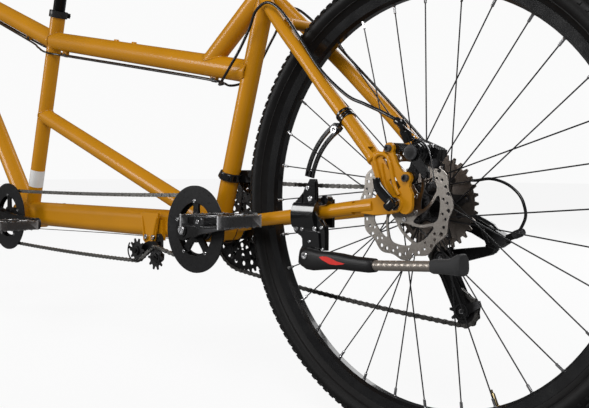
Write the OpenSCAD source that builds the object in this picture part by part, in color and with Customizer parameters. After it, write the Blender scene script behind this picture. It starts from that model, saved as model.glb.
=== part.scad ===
// Tandem bicycle with disc brakes, derailleur gears and a folding side stand.
// Millimetres. X points forward, Y to the riders' left and Z up. The origin is on the
// ground, midway between the wheels. Frame points below are [x, z] from the rear axle.

/* [Wheels] */
// Distance between the two axles
wheelbase = 1806; // [1760:1:1860]
// Outer radius of the tyres
tyre_r = 358; // [350:1:364]
// Width of the tyres
tyre_w = 53; // [44:1:56]
// Number of spokes in each wheel
spokes = 32; // [24, 32, 40]

/* [Frame] */
// Angle of the rear seat tube from the ground
rear_seat_angle = 73.7; // [72:0.1:75]
// Angle of the front seat tube from the ground
front_seat_angle = 74.7; // [73:0.1:76]
// Outer radius of the seat tubes
seat_tube_r = 16.5; // [15.5:0.1:18]
// Outer radius of the top tube
top_tube_r = 20.5; // [18:0.5:22]
// Outer radius of the sloping tubes
brace_r = 17.5; // [15:0.5:19]
// Outer radius of the rear stays
stay_r = 11; // [9:0.5:12]

/* [Drivetrain] */
// Length of the cranks
crank_l = 170; // [165:2.5:175]
// Teeth on the largest rear chainring
drive_teeth = 42; // [40, 42, 44]
// Teeth on both timing chainrings
timing_teeth = 30; // [28:1:32]
// Rest angle of the left cranks, from straight ahead and upwards
crank_rest = 171; // [160:1:180]
// Lead of the front cranks over the rear ones, in whole links of the timing chain
front_lead = 1; // [-2:1:2]

/* [Contact points] */
// Distance from the front bottom bracket to the top of the captain's saddle
front_saddle_l = 700; // [640:5:740]
// Distance from the rear bottom bracket to the top of the stoker's saddle
rear_saddle_l = 690; // [640:5:720]
// Half of the width of the front handlebar
bar_half_w = 350; // [320:5:380]

/* [Hidden] */
$fn = 64;

paint = "goldenrod";
black = "#1c1c1e";
steel = "silver";
rubber = "#202020";
rear_x = -wheelbase / 2;
axle_z = tyre_r;
fit = 0.05;          // radial clearance of a running fit
pitch = 12.7;        // chain pitch
rear_bb = [452, -60];
front_bb = [1146, -66];
bb_half = 36.5;      // half of a bottom bracket shell's width
bb_r = 24;
front_bb_r = 30;
spindle_r = 12;

// Frame joints, [x, z] from the rear axle
function on_seat(bb, angle, s) = [bb[0] - s * cos(angle), bb[1] + s * sin(angle)];
rear_seat_top = on_seat(rear_bb, rear_seat_angle, 480);
front_seat_foot = [1143, -60];
front_seat_top = on_seat(front_seat_foot, front_seat_angle, 482);
front_rest = crank_rest + front_lead * 360 / timing_teeth;
top_front = [1572, 551];      // top tube axis at the head tube
top_mid = [1034, 342];        // top tube axis at the front seat tube
top_rear = [371, 218];        // top tube axis at the rear seat tube
head_high = [1552, 600];
head_l = 167;
head_low = head_high - head_l * [cos(109), sin(109)];
lateral_dir = (top_mid - top_rear) / norm(top_mid - top_rear);
boss_at = [360, 424];         // bottle bosses, along the rear half of the top tube
down_top = [1584, 476];
diagonal_top = [1081, 173];
brace_low = [488, 238];
brace_high = [331, 359];
boom_z = -60;
boom_h = 54;
boom_w = 44;
post_r = 13.6;

// Wheel parts
rim_in_r = 299;
rim_r = 317;
rim_half_w = 13;
rear_old = 67.5;     // half of the rear hub's width between dropouts
front_old = 50;
rotor_r = 80;
rear_rotor_y = 51;
front_rotor_y = 38;
rotor_t = 2;
drop_t = 6;          // dropout plate thickness
drive_y = -59;       // middle plane of the drive chain
timing_y = 53;       // middle plane of the timing chain
sprocket_t = 1.9;
cogs = [11, 13, 15, 17, 20, 23, 26, 30, 34];
cog_gap = 4.3;
jockey_teeth = 11;
idler_teeth = 10;
upper_jockey_c = [8, -86];
lower_jockey_c = [-30, -161];
front_idler_c = [637, -111];
rear_idler_c = [577, -121];
pedal_y = 146;
qr_y = 85.5;         // centre of the quick-release cam
arm_y = 76;          // inner face of a crank arm
arm_t = 13;
kick_pivot = [148, 84, -81];
kick_root = [148, 84, -95];
spoke_phase = -0.9;
kick_tip = [-136, 104, -73];
axis_dir = [cos(109), 0, sin(109)];   // steering axis, pointing up
bar_c = [1628, 0, 655];
bar_bend = [1618, 140, 676];
bar_end = [1586, bar_half_w, 680];
stoker_c = [905, 0, 486];

function pitch_r(teeth) = pitch / (2 * sin(180 / teeth));

// Places and directions
module at_axle(x = 0, z = 0, y = 0) translate([rear_x + x, y, axle_z + z]) children();
module along(p, q) {
    d = q - p;
    l = norm(d);
    translate(p) rotate([0, acos(d[2] / l), atan2(d[1], d[0])]) children();
}
module rod(p, q, r) along(p, q) cylinder(h = norm(q - p), r = r);
module cone(p, q, r1, r2) along(p, q) cylinder(h = norm(q - p), r1 = r1, r2 = r2);
function xz(p, y = 0) = [p[0], y, p[1]];
module cyl_y(r, y0, y1) translate([0, y0, 0]) rotate([-90, 0, 0]) cylinder(h = y1 - y0, r = r);
module turned_y() rotate([-90, 0, 0]) rotate_extrude() children();
module plate_y(y0, y1) translate([0, y1, 0]) rotate([90, 0, 0]) linear_extrude(y1 - y0) children();
module mirrored_y() {
    children();
    mirror([0, 1, 0]) children();
}

// A tube swept along points, with flat rings square to the path
function unit(v) = v / norm(v);
function tangent(p, i) = unit(p[min(i + 1, len(p) - 1)] - p[max(i - 1, 0)]);
function side_of(t) = unit(cross(t, abs(t[2]) < 0.9 ? [0, 0, 1] : [0, 1, 0]));
function ring_at(c, t, r, n) = let(a = side_of(t), b = cross(t, a))
    [for (k = [0:n - 1]) c + r * (cos(360 * k / n) * a + sin(360 * k / n) * b)];
module swept(path, r, n = 16) {
    m = len(path);
    points = [for (i = [0:m - 1]) each ring_at(path[i], tangent(path, i), r, n)];
    sides = [for (i = [0:m - 2], k = [0:n - 1]) let(a = i * n + k, b = i * n + (k + 1) % n)
        each [[b, a, a + n], [b, a + n, b + n]]];
    polyhedron(points, concat(sides, [[for (k = [0:n - 1]) k]],
        [[for (k = [n - 1:-1:0]) (m - 1) * n + k]]), convexity = 6);
}
function catmull(a, b, c, d, t) = 0.5 * (2 * b + (c - a) * t
    + (2 * a - 5 * b + 4 * c - d) * t * t + (3 * b - a - 3 * c + d) * t * t * t);
function smooth(p, n) = [for (i = [0:len(p) - 2], k = [0:n - 1])
    catmull(p[max(i - 1, 0)], p[i], p[i + 1], p[min(i + 2, len(p) - 1)], k / n),
    p[len(p) - 1]];

// Toothed wheels and the chains round them
function tooth_ring(teeth) = let(r = pitch_r(teeth), step = 360 / teeth)
    [for (k = [0:teeth - 1]) each [for (c = [[-0.3, -3.4], [-0.12, 3], [0.12, 3], [0.3, -3.4]])
        (r + c[1]) * [cos((k + c[0]) * step), sin((k + c[0]) * step)]]];
module sprocket(teeth, y, bore, t = sprocket_t) plate_y(y - t / 2, y + t / 2)
    difference() {
        polygon(tooth_ring(teeth));
        circle(r = bore);
    }
// A pulley is [centre, radius, turn]: turn is 1 where the chain has the centre on its left
function leave(a, b) = let(d = b[0] - a[0], k = b[2] * b[1] - a[2] * a[1])
    atan2(d[1], d[0]) - asin(k / norm(d));
function grown(p, o) = [for (c = p) [c[0], c[1] + c[2] * o, c[2]]];
function arc_of(p, i) = let(n = len(p), c = p[i], a = leave(p[(i + n - 1) % n], c),
    b = leave(c, p[(i + 1) % n]), turn = ((c[2] * (b - a)) % 360 + 360) % 360,
    m = max(2, ceil(turn / 8)))
    [for (k = [0:m]) let(q = a + c[2] * turn * k / m)
        c[0] + c[2] * c[1] * [sin(q), -cos(q)]];
function loop(p) = [for (i = [0:len(p) - 1]) each arc_of(p, i)];
module chain(p, y) {
    for (e = [-1, 1])
        plate_y(y + e * 2.5 - 0.8, y + e * 2.5 + 0.8) difference() {
            polygon(loop(grown(p, 4.2)));
            polygon(loop(grown(p, -4.2)));
        }
    for (i = [0:len(p) - 1]) {
        a = arc_of(p, i);
        b = arc_of(p, (i + 1) % len(p));
        from = a[len(a) - 1];
        span = b[0] - from;
        pins = floor((norm(span) - 20) / 60);
        if (pins > 0)
            for (k = [1:pins]) {
                c = from + span * k / (pins + 1);
                translate([c[0], 0, c[1]]) cyl_y(2.8, y - 3.3, y + 3.3);
            }
    }
}
drive_loop = [[rear_bb, pitch_r(drive_teeth), 1], [[0, 0], pitch_r(cogs[0]), 1],
    [upper_jockey_c, pitch_r(jockey_teeth), -1], [lower_jockey_c, pitch_r(jockey_teeth), 1]];
timing_loop = [[front_bb, pitch_r(timing_teeth), 1], [rear_bb, pitch_r(timing_teeth), 1],
    [rear_idler_c, pitch_r(idler_teeth), -1], [front_idler_c, pitch_r(idler_teeth), 1]];

// ---------------------------------------------------------------- frame
module seat_tube_bores() {
    rod(xz(on_seat(rear_bb, rear_seat_angle, 60)), xz(on_seat(rear_bb, rear_seat_angle, 500)),
        post_r + fit);
    rod(xz(on_seat(front_seat_foot, front_seat_angle, 60)),
        xz(on_seat(front_seat_foot, front_seat_angle, 500)), post_r + fit);
}
module frame_shells() color(paint) at_axle() {
    difference() {
        rod(xz(head_low), xz(head_high), 22);
        rod(xz(2 * head_low - head_high), xz(2 * head_high - head_low), 17.5);
    }
    translate(xz(rear_bb)) difference() {
        cyl_y(bb_r, -bb_half, bb_half);
        cyl_y(bb_r - 6, -40, 40);
    }
    translate(xz(front_bb)) difference() {
        cyl_y(front_bb_r, -bb_half, bb_half);
        cyl_y(bb_r - 6, -40, 40);
    }
}
module cable_guide(p, a) translate(xz(p)) rotate([0, -a, 0]) translate([-8, -4, -6.5])
    cube([16, 8, 7]);
module top_tube() color(paint) at_axle() difference() {
    union() {
        rod(xz(top_front), xz(top_mid), top_tube_r);
        rod(xz(top_mid), xz(top_rear), top_tube_r - 0.4);
        for (p = [[470, 216], [985, 312]]) cable_guide(p, 10.5);
        cable_guide([1150, 366], 21);
    }
    rod(xz(head_low), xz(head_high), 22);
    rod(xz(front_seat_foot), xz(front_seat_top), seat_tube_r);
    rod(xz(rear_bb), xz(rear_seat_top), seat_tube_r);
    for (s = boss_at) {
        c = top_rear + s * lateral_dir;
        rod(xz(c), xz(c + 30 * [-lateral_dir[1], lateral_dir[0]]), 2.5);
    }
}
module seat_tubes() color(paint) at_axle() difference() {
    union() {
        rod(xz(rear_bb), xz(rear_seat_top), seat_tube_r);
        rod(xz(front_seat_foot), xz(front_seat_top), seat_tube_r);
    }
    translate(xz(rear_bb)) cyl_y(bb_r, -40, 40);
    translate(xz(front_bb)) cyl_y(front_bb_r, -40, 40);
    rod([front_seat_foot[0] - 120, 0, boom_z], [front_seat_foot[0] + 60, 0, boom_z], boom_w / 2);
    seat_tube_bores();
}
module sloping_tubes() color(paint) at_axle() difference() {
    union() {
        rod(xz(front_bb), xz(down_top), 21);
        rod(xz(rear_bb), xz(diagonal_top), brace_r);
        rod(xz(brace_low), xz(brace_high), brace_r + 0.5);
    }
    translate(xz(rear_bb)) cyl_y(bb_r, -40, 40);
    translate(xz(front_bb)) cyl_y(front_bb_r, -40, 40);
    rod(xz(head_low), xz(head_high), 22);
    rod(xz(front_seat_foot), xz(front_seat_top), seat_tube_r);
    rod(xz(rear_bb), xz(rear_seat_top), seat_tube_r);
    rod(xz(top_front), xz(top_mid), top_tube_r);
    rod(xz(top_mid), xz(top_rear), top_tube_r);
    translate([0, 0, boom_z]) rotate([0, 90, 0]) boom_bar();
}
module boom_outline() {
    r = 18;
    square([boom_h, boom_w - 2 * r], center = true);
    square([boom_h - 2 * r, boom_w], center = true);
    for (a = [-1, 1], b = [-1, 1]) translate([a * (boom_h / 2 - r), b * (boom_w / 2 - r)])
        circle(r = r);
}
module boom_bar() translate([0, 0, rear_bb[0]]) linear_extrude(front_bb[0] - rear_bb[0])
    boom_outline();
module boom_tube() color(paint) at_axle() {
    difference() {
        translate([0, 0, boom_z]) rotate([0, 90, 0]) boom_bar();
        translate(xz(rear_bb)) cyl_y(bb_r, -40, 40);
        translate(xz(front_bb)) cyl_y(front_bb_r, -40, 40);
    }
    plate_y(20, 28) difference() {
        translate([590, -91]) square([48, 40]);
        for (x = [606, 628]) translate([x, -85]) circle(r = 2.6);
    }
}
// The seat stay's axis on the left, from the seat tube to the dropout
seat_stay = [[336, 12, 352], [300, 24, 316], [251, 36, 268], [198, 46, 219],
    [150, 54, 171], [110, 60, 133], [44, 65.2, 64]];
chain_stay = [[452, 22, -62], [410, 29, -53], [360, 37, -45], [300, 46, -37],
    [165, 59, -20], [85, 64.9, -9], [42, 66, -4]];
module rear_stays() color(paint) at_axle() difference() {
    union() {
        mirrored_y() {
            swept(smooth(seat_stay, 3), stay_r, 20);
            swept(smooth(chain_stay, 3), stay_r - 0.5, 20);
        }
        rod([250, -30, 284], [250, 30, 284], 9);
        rod([385, -24, -50], [385, 24, -50], 8);
    }
    translate(xz(rear_bb)) cyl_y(bb_r, -40, 40);
    rod(xz(rear_bb), xz(rear_seat_top), seat_tube_r);
    rod(xz(brace_low), xz(brace_high), brace_r + 0.5);
    mirrored_y() translate([0, rear_old + drop_t / 2, 0])
        cube([160, drop_t + 0.2, 160], center = true);
}
function arc(c, r, from, to, n = 6) = [for (k = [0:n]) let(q = from + (to - from) * k / n)
    c + r * [cos(q), sin(q)]];
tab_high = [13, 77];
tab_low = [-17, 36];
module left_dropout_outline() difference() {
    polygon(concat([[46, 58], [34, 74], [25, 70]], arc(tab_high, 8.5, 35, 215),
        [[0, 58], [-6, 49], [-12, 44.5]], arc(tab_low, 8.5, 95, 230),
        [[-22, 24], [-27, 14]], arc([-15, -2], 12, 180, 300),
        [[-5.2, -8]], arc([0, 0], 5.2, 180, 0, 8),
        [[5.2, -14], [40, -17], [62, -15], [62, 4], [36, 8], [31, 20], [38, 40]]));
    translate(tab_high) circle(r = 3);
    translate(tab_low) circle(r = 3);
    translate([2, 28]) rotate(-35) square([11, 19], center = true);
    translate([16, 57]) rotate(-35) square([6, 20], center = true);
}
module right_dropout_outline() difference() {
    polygon(concat([[50, 56], [36, 72], [22, 58], [8, 24], [-10, 16]],
        arc([0, 0], 14, 150, 190), [[-16, -20]], arc([-9, -28], 8.5, 170, 350),
        [[-1, -22], [-5.2, -12]], arc([0, 0], 5.2, 180, 0, 8),
        [[5.2, -16], [40, -17], [62, -15], [62, 4], [36, 8], [31, 20], [38, 40]]));
    translate([-9, -28]) circle(r = 5);
}
module dropouts() color(paint) at_axle() {
    plate_y(rear_old, rear_old + drop_t) left_dropout_outline();
    plate_y(-rear_old - drop_t, -rear_old) right_dropout_outline();
}
module bearing_cups() color(black) at_axle() {
    for (c = [rear_bb, front_bb], e = [-1, 1]) translate(xz(c)) difference() {
        union() {
            cyl_y(bb_r - 6, min(e * 20, e * 46), max(e * 20, e * 46));
            cyl_y(21, min(e * 36.6, e * 44), max(e * 36.6, e * 44));
        }
        cyl_y(spindle_r + fit, -50, 50);
    }
    for (c = [[head_low, -1], [head_high, 1]]) along(xz(c[0]), xz(c[0]) + c[1] * axis_dir)
        difference() {
            union() {
                translate([0, 0, -14]) cylinder(h = 14, r = 17.5);
                cylinder(h = 9, r1 = 22, r2 = 19);
            }
            translate([0, 0, -20]) cylinder(h = 40, r = 14.3 + fit);
        }
}
module seat_clamp(bb, angle, s) along(xz(on_seat(bb, angle, s - 12)), xz(on_seat(bb, angle, s)))
    difference() {
        union() {
            cylinder(h = 15, r = seat_tube_r + 4);
            translate([-4, seat_tube_r, 2]) cube([8, 12, 11]);
            translate([4, seat_tube_r + 7, 7.5]) rotate([0, 90, 0]) cylinder(h = 3, r = 4);
        }
        translate([0, 0, -1]) cylinder(h = 20, r = seat_tube_r);
    }
module seat_clamps() color(black) at_axle() {
    seat_clamp(rear_bb, rear_seat_angle, 480);
    seat_clamp(front_seat_foot, front_seat_angle, 482);
}

// ---------------------------------------------------------------- wheels
module tyre(x) color(rubber) at_axle(x) turned_y() difference() {
    w = tyre_w / 2;
    polygon(concat([[rim_r - 5, 10.8], [rim_r + 1, 12]],
        [[tyre_r - 32, w - 2], [tyre_r - 20, w], [tyre_r - 11, w - 1], [tyre_r - 4, w - 9],
        [tyre_r, 6], [tyre_r, -6], [tyre_r - 4, 9 - w], [tyre_r - 11, 1 - w],
        [tyre_r - 20, -w], [tyre_r - 32, 2 - w], [rim_r + 1, -12], [rim_r - 5, -10.8]]));
    polygon([[rim_r - 6, 8], [rim_r + 2, 9], [tyre_r - 31, w - 5], [tyre_r - 20, w - 3],
        [tyre_r - 10, w - 8], [tyre_r - 6, 0], [tyre_r - 10, 8 - w], [tyre_r - 20, 3 - w],
        [tyre_r - 31, 5 - w], [rim_r + 2, -9], [rim_r - 6, -8]]);
}
module rim(x) color(black) at_axle(x) turned_y() difference() {
    polygon([[rim_in_r, 5], [rim_in_r + 4, 10.5], [rim_r, rim_half_w], [rim_r, 11.2],
        [rim_r - 5.2, 10.8], [rim_r - 7, 10], [rim_r - 9, 4], [rim_r - 9, -4],
        [rim_r - 7, -10], [rim_r - 5.2, -10.8], [rim_r, -11.2], [rim_r, -rim_half_w],
        [rim_in_r + 4, -10.5], [rim_in_r, -5]]);
    polygon([[rim_in_r + 1.6, 4], [rim_in_r + 5, 8.5], [rim_r - 9.5, 8.5], [rim_r - 11, 4],
        [rim_r - 11, -4], [rim_r - 9.5, -8.5], [rim_in_r + 5, -8.5], [rim_in_r + 1.6, -4]]);
}
// Crossed lacing: neighbouring spokes of one side lean opposite ways, on either flange face
function round_y(r, a, y) = [r * cos(a), y, r * sin(a)];
flange_r = 24;
module spoke_set(x, left_y, right_y) color(black) at_axle(x) {
    per_side = spokes / 2;
    gap = 360 / per_side;
    for (s = [0, 1], k = [0:per_side - 1]) {
        lean = k % 2 == 0 ? 1 : -1;
        y = s == 0 ? left_y : right_y;
        hole = k * gap + s * gap / 2 + spoke_phase;
        hub_end = round_y(flange_r, hole, y + lean * 2.6);
        rim_end = round_y(rim_in_r + 2.5, hole + lean * 3 * gap, s == 0 ? 2 : -2);
        rod(hub_end, rim_end, 1);
        rod(rim_end + 14 * unit(hub_end - rim_end), rim_end, 2);
    }
}
module hub_shell(x, left_y, right_y, profile) color(black) at_axle(x) difference() {
    turned_y() polygon(profile);
    for (y = [left_y, right_y], k = [0:spokes / 2 - 1])
        rotate([0, -(k * 720 / spokes + (y == right_y ? 360 / spokes : 0) + spoke_phase), 0])
            translate([flange_r, 0, 0]) cyl_y(1.4, y - 4, y + 4);
}
rear_left_y = 33;
rear_right_y = -20;
front_left_y = 22;
front_right_y = -33;
module rear_hub() hub_shell(0, rear_left_y, rear_right_y,
    [[5 + fit, -23.5], [22, -23.5], [28, -21.5], [28, -18.5], [17, -14], [14, 0], [17, 28],
    [28, 31.5], [28, 34.5], [19, 38], [19, rear_rotor_y - 0.2], [14, rear_rotor_y - 0.2],
    [14, rear_rotor_y + 6], [9, 63], [5 + fit, 63]]);
module front_hub() hub_shell(wheelbase, front_left_y, front_right_y,
    [[6 + fit, -46], [12, -46], [15, -38], [28, -34.5], [28, -31.5], [16, -27], [14, 0],
    [17, 17], [28, 20.5], [28, 23.5], [19, 26], [19, front_rotor_y - 0.2],
    [13, front_rotor_y - 0.2], [13, front_rotor_y + 5], [10, 46], [6 + fit, 46]]);
module rotor(x, y) color(steel) at_axle(x) plate_y(y, y + rotor_t) difference() {
    polygon([for (a = [0:3:357]) (rotor_r - 2.4 + 2.4 * cos(12 * a)) * [cos(a), sin(a)]]);
    difference() {
        polygon([for (a = [0:3:357]) (63.5 + 2.4 * cos(12 * a)) * [cos(a), sin(a)]]);
        for (a = [0:60:300]) rotate(a) translate([17, 14]) rotate(-22) square([60, 7]);
        circle(r = 27);
    }
    circle(r = 14.2);
    for (a = [0:60:300]) rotate(a + 30) translate([22, 0]) circle(r = 2.6);
    for (a = [0:15:345]) rotate(a) {
        translate([71, 0]) circle(r = 3);
        rotate(7.5) translate([68.5, 0]) circle(r = 2.4);
    }
}
module rear_tyre() tyre(0);
module front_tyre() tyre(wheelbase);
module rear_rim() rim(0);
module front_rim() rim(wheelbase);
module rear_spokes() spoke_set(0, rear_left_y, rear_right_y);
module front_spokes() spoke_set(wheelbase, front_left_y, front_right_y);
module rear_rotor() rotor(0, rear_rotor_y);
module front_rotor() rotor(wheelbase, front_rotor_y);
module cassette() color("dimgray") at_axle() {
    for (k = [0:len(cogs) - 1]) sprocket(cogs[k], drive_y + k * cog_gap, 16.5);
    turned_y() polygon([[5 + fit, -62.5], [17.6, -62.5], [17.6, -60.2], [17, -60.2],
        [17, -24.4], [5 + fit, -24.4]]);
    for (k = [0:len(cogs) - 2]) translate([0, drive_y + (k + 0.5) * cog_gap, 0])
        turned_y() polygon([[16.5, -1.4], [17.9, -1.4], [17.9, 1.4], [16.5, 1.4]]);
}
module rear_axle() color(steel) at_axle() {
    turned_y() polygon([[2.6, -72], [5, -72], [5, -67.4], [9, -67.4], [9, -63], [5, -63],
        [5, 63.2], [9, 63.2], [9, 67.4], [5, 67.4], [5, 72], [2.6, 72]]);
    cyl_y(2.5, -80, 77);
    turned_y() polygon([[2.4, -82], [9, -82], [10, -74], [2.4, -73.6]]);
    turned_y() polygon([[2.4, 73.6], [10, 74], [9, 78], [2.4, 78]]);
}

// ---------------------------------------------------------------- cranks and pedals
module crank_arm(dir) rotate(dir) difference() {
    union() {
        polygon([[0, 16], [60, 12], [crank_l, 11], [crank_l, -11], [60, -12], [0, -16]]);
        circle(r = 18);
        translate([crank_l, 0]) circle(r = 13);
    }
}
module spider(reach) {
    circle(r = 24);
    for (a = [0:72:288]) rotate(a + 18) {
        polygon([[0, 9], [reach, 6.5], [reach, -6.5], [0, -9]]);
        translate([reach, 0]) circle(r = 8);
    }
}
module pedal_spindle(dir, side) {
    c = crank_l * [cos(dir), sin(dir)];
    translate(xz(c)) cyl_y(6, min(side * arm_y, side * (pedal_y + 44)),
        max(side * arm_y, side * (pedal_y + 44)));
}
module crank_pair(dir) {
    cyl_y(spindle_r, -arm_y - arm_t - 2, arm_y + arm_t + 2);
    plate_y(arm_y, arm_y + arm_t) crank_arm(dir);
    plate_y(-arm_y - arm_t, -arm_y) crank_arm(dir + 180);
    pedal_spindle(dir, 1);
    pedal_spindle(dir + 180, -1);
    // timing ring, its spider and the chain guard
    sprocket(timing_teeth, timing_y, 44);
    plate_y(timing_y + sprocket_t / 2, timing_y + 5.5) spider(45);
    plate_y(timing_y + 5.5, timing_y + 8.5) difference() {
        circle(r = 78);
        circle(r = 48);
    }
    cyl_y(17, 47, arm_y + 1);
    cyl_y(17, -arm_y - 1, -47);
}
module front_crankset() color(black) at_axle(front_bb[0], front_bb[1]) crank_pair(front_rest);
module chainring(teeth, y, inner, hole_r, holes) difference() {
    sprocket(teeth, y, inner);
    for (k = [0:holes - 1]) rotate([0, 360 * k / holes, 0]) translate([hole_r, 0, 0])
        cyl_y(4.5, y - 2, y + 2);
}
module rear_crankset() color(black) at_axle(rear_bb[0], rear_bb[1]) {
    crank_pair(crank_rest);
    chainring(drive_teeth, drive_y, 56, 70, 20);
    plate_y(drive_y + sprocket_t / 2, drive_y + 6.6) spider(58);
    chainring(32, drive_y + 7.5, 44, 54.5, 15);
    chainring(22, drive_y + 15, 28, 35.5, 10);
    for (a = [0:72:288]) rotate([0, -a - 18, 0]) translate([33, 0, 0])
        cyl_y(3, drive_y + 5, drive_y + 14.5);
}
module pedal(bb, dir, side) color(black)
    at_axle(bb[0] + crank_l * cos(dir), bb[1] + crank_l * sin(dir), side * pedal_y)
    difference() {
        union() {
            cyl_y(11, -47, 47);
            for (e = [-1, 1]) {
                translate([e * 42 - 4, -47, -11]) cube([8, 94, 22]);
                translate([-42, e * 43 - 4, -9]) cube([84, 8, 18]);
            }
            translate([-42, -5, -7]) cube([84, 10, 14]);
        }
        cyl_y(6 + fit, -50, 50);
    }
module front_left_pedal() pedal(front_bb, front_rest, 1);
module front_right_pedal() pedal(front_bb, front_rest + 180, -1);
module rear_left_pedal() pedal(rear_bb, crank_rest, 1);
module rear_right_pedal() pedal(rear_bb, crank_rest + 180, -1);
module drive_chain() color("dimgray") at_axle() chain(drive_loop, drive_y);
module timing_chain() color("gray") at_axle() chain(timing_loop, timing_y);

// ---------------------------------------------------------------- gear changers
module rear_derailleur() color(black) at_axle() {
    translate([-9, 0, -28]) {
        cyl_y(4.9, -74, -64);
        cyl_y(13, -90, -73.7);
    }
    plate_y(-90, -74.5) polygon([[-2, -16], [-44, -26], [-86, -48], [-88, -58], [-76, -66],
        [-56, -58], [-30, -46], [-10, -41]]);
    rod([-78, -82, -54], [-100, -82, -45], 5);
}
module derailleur_link() color("dimgray") at_axle() {
    difference() {
        union() {
            plate_y(-86, -82) polygon([[-72, -68], [-60, -64], [10, -74], [8, -98], [-62, -77]]);
            plate_y(-75, -71) polygon([[-72, -68], [-60, -64], [10, -74], [8, -98], [-62, -77]]);
            translate(xz(upper_jockey_c)) cyl_y(13, -86, -67.4);
            translate([-64, 0, -71]) cyl_y(4, -86, -71);
        }
    }
    translate(xz(upper_jockey_c)) cyl_y(8, -68, -65.3);
}
function cage_outline() = let(u = unit(lower_jockey_c - upper_jockey_c),
    q = atan2(u[1], u[0]))
    concat(arc(upper_jockey_c, 12, q + 90, q + 270, 8), arc(lower_jockey_c, 13, q - 90, q + 90, 8));
module derailleur_cage() color(black) at_axle() {
    plate_y(-67, -65) difference() {
        polygon(cage_outline());
        translate(upper_jockey_c) circle(r = 8 + fit);
    }
    plate_y(-53, -51) {
        polygon(cage_outline());
        polygon([[-34, -150], [-60, -142], [-63, -150], [-36, -168]]);
    }
    translate(xz(upper_jockey_c)) cyl_y(2.5, -64.7, -52);
    translate(xz(lower_jockey_c)) cyl_y(2.5, -69, -49);
}
module toothed_roller(c, teeth, y, bore) translate(xz(c)) difference() {
    union() {
        sprocket(teeth, y, 4);
        cyl_y(9, y - 4.5, y + 4.5);
    }
    cyl_y(bore + fit, y - 10, y + 10);
}
module upper_jockey() color(black) at_axle() toothed_roller(upper_jockey_c, jockey_teeth, drive_y, 2.5);
module lower_jockey() color(black) at_axle() toothed_roller(lower_jockey_c, jockey_teeth, drive_y, 2.5);
module front_idler() color(black) at_axle() toothed_roller(front_idler_c, idler_teeth, timing_y, 3);
module rear_idler() color(black) at_axle() toothed_roller(rear_idler_c, idler_teeth, timing_y, 3);
module tensioner_arm() color(black) at_axle() {
    plate_y(28, 34) polygon([[592, -78], [636, -78], [636, -104], [586, -108], [586, -84]]);
    for (x = [606, 628]) translate([x, 0, -85]) {
        cyl_y(2.5, 24, 35);
        cyl_y(4.5, 34, 37);
    }
    translate([590, 34, -108]) cube([20, 8, 16]);
    plate_y(40, 45) {
        polygon([[577, -110], [590, -92], [612, -92], [642, -103], [642, -119], [600, -114],
            [577, -131], [568, -125], [567, -115]]);
        translate(rear_idler_c) circle(r = 9);
        translate(front_idler_c) circle(r = 9);
    }
    for (c = [[rear_idler_c, 200], [front_idler_c, 20]]) translate(xz(c[0])) {
        cyl_y(3, 44, 61);
        plate_y(59.5, 61) rotate(c[1]) {
            circle(r = 5);
            translate([0, -2.5]) square([20, 5]);
            difference() {
                circle(r = 21);
                circle(r = 18.5);
                rotate(25) translate([-30, 0]) square([60, 30]);
            }
        }
    }
}
module front_derailleur() color(black) at_axle() {
    p = on_seat(rear_bb, rear_seat_angle, 92);
    q = on_seat(rear_bb, rear_seat_angle, 106);
    difference() {
        union() {
            rod(xz(p), xz(q), seat_tube_r + 3.5);
            translate([388, -34, 33]) cube([30, 22, 13]);
            translate([395, -30, 24]) cube([26, 20, 12]);
        }
        rod(xz(rear_bb), xz(rear_seat_top), seat_tube_r);
    }
    translate([436, 8, 36]) rotate([0, 90, 0]) cylinder(h = 9, r = 4);
}
module front_derailleur_cage() color(black) at_axle() {
    for (y = [-66, -54.2]) plate_y(y, y + 1.4)
        polygon([[458, 46], [458, 32], [430, 30], [404, 19], [384, 5], [368, 4], [364, 16],
            [376, 42]]);
    translate([384, -66, 40]) cube([44, 13, 2.4]);
    translate([366, -66, 6]) cube([6, 13, 2.4]);
    translate([386, -53, 30]) cube([18, 2, 20.3]);
    translate([386, -53, 46.3]) cube([18, 15, 4]);
}

// ---------------------------------------------------------------- brakes
module caliper(turn, y) rotate([0, turn, 0]) translate([0, y, 0]) {
    difference() {
        union() {
            translate([-24, -14, 62]) cube([48, 40, 38]);
            translate([-28, -8, 66]) cube([56, 24, 28]);
            translate([-6, 0, 78]) cyl_y(15, 20, 31);
        }
        translate([-40, -1.4, 50]) cube([80, 4.8, 34]);
    }
    translate([-6, 0, 78]) cyl_y(4, 30, 40);
    for (e = [-1.3, 2.2]) translate([-14, e, 64]) cube([28, 1.1, 20]);
}
module rear_caliper() color(black) at_axle() {
    caliper(-21.6, rear_rotor_y);
    plate_y(58, rear_old - 0.1) polygon([[20, 74], [14, 86], [-20, 104], [-40, 96], [-36, 66],
        [-28, 36], [-20, 28], [-9, 30], [-8, 50], [2, 66]]);
    for (c = [tab_high, tab_low]) translate(xz(c)) {
        cyl_y(2.9, 60, 76);
        cyl_y(5, 73.6, 79);
    }
}
module rear_brake_arm() color(black) at_axle() rotate([0, -21.6, 0])
    translate([-6, rear_rotor_y, 78]) difference() {
        union() {
            cyl_y(9, 31.3, 37);
            plate_y(31.3, 34.5) polygon([[-7, 5], [-36, -14], [-38, -22], [-30, -24], [4, -8]]);
            translate([-33, 0, -19]) cyl_y(4, 31.3, 39);
        }
        cyl_y(4 + fit, 20, 50);
    }
module front_caliper() color(black) at_axle(wheelbase) difference() {
    union() {
        caliper(-58, front_rotor_y);
        rotate([0, -58, 0]) translate([14, front_rotor_y + 5, 68]) cube([30, 12, 22]);
    }
    rod([-6, 53.5, 22], [head_low[0] - wheelbase, 44, head_low[1] - 34], 17.2);
}
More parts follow.
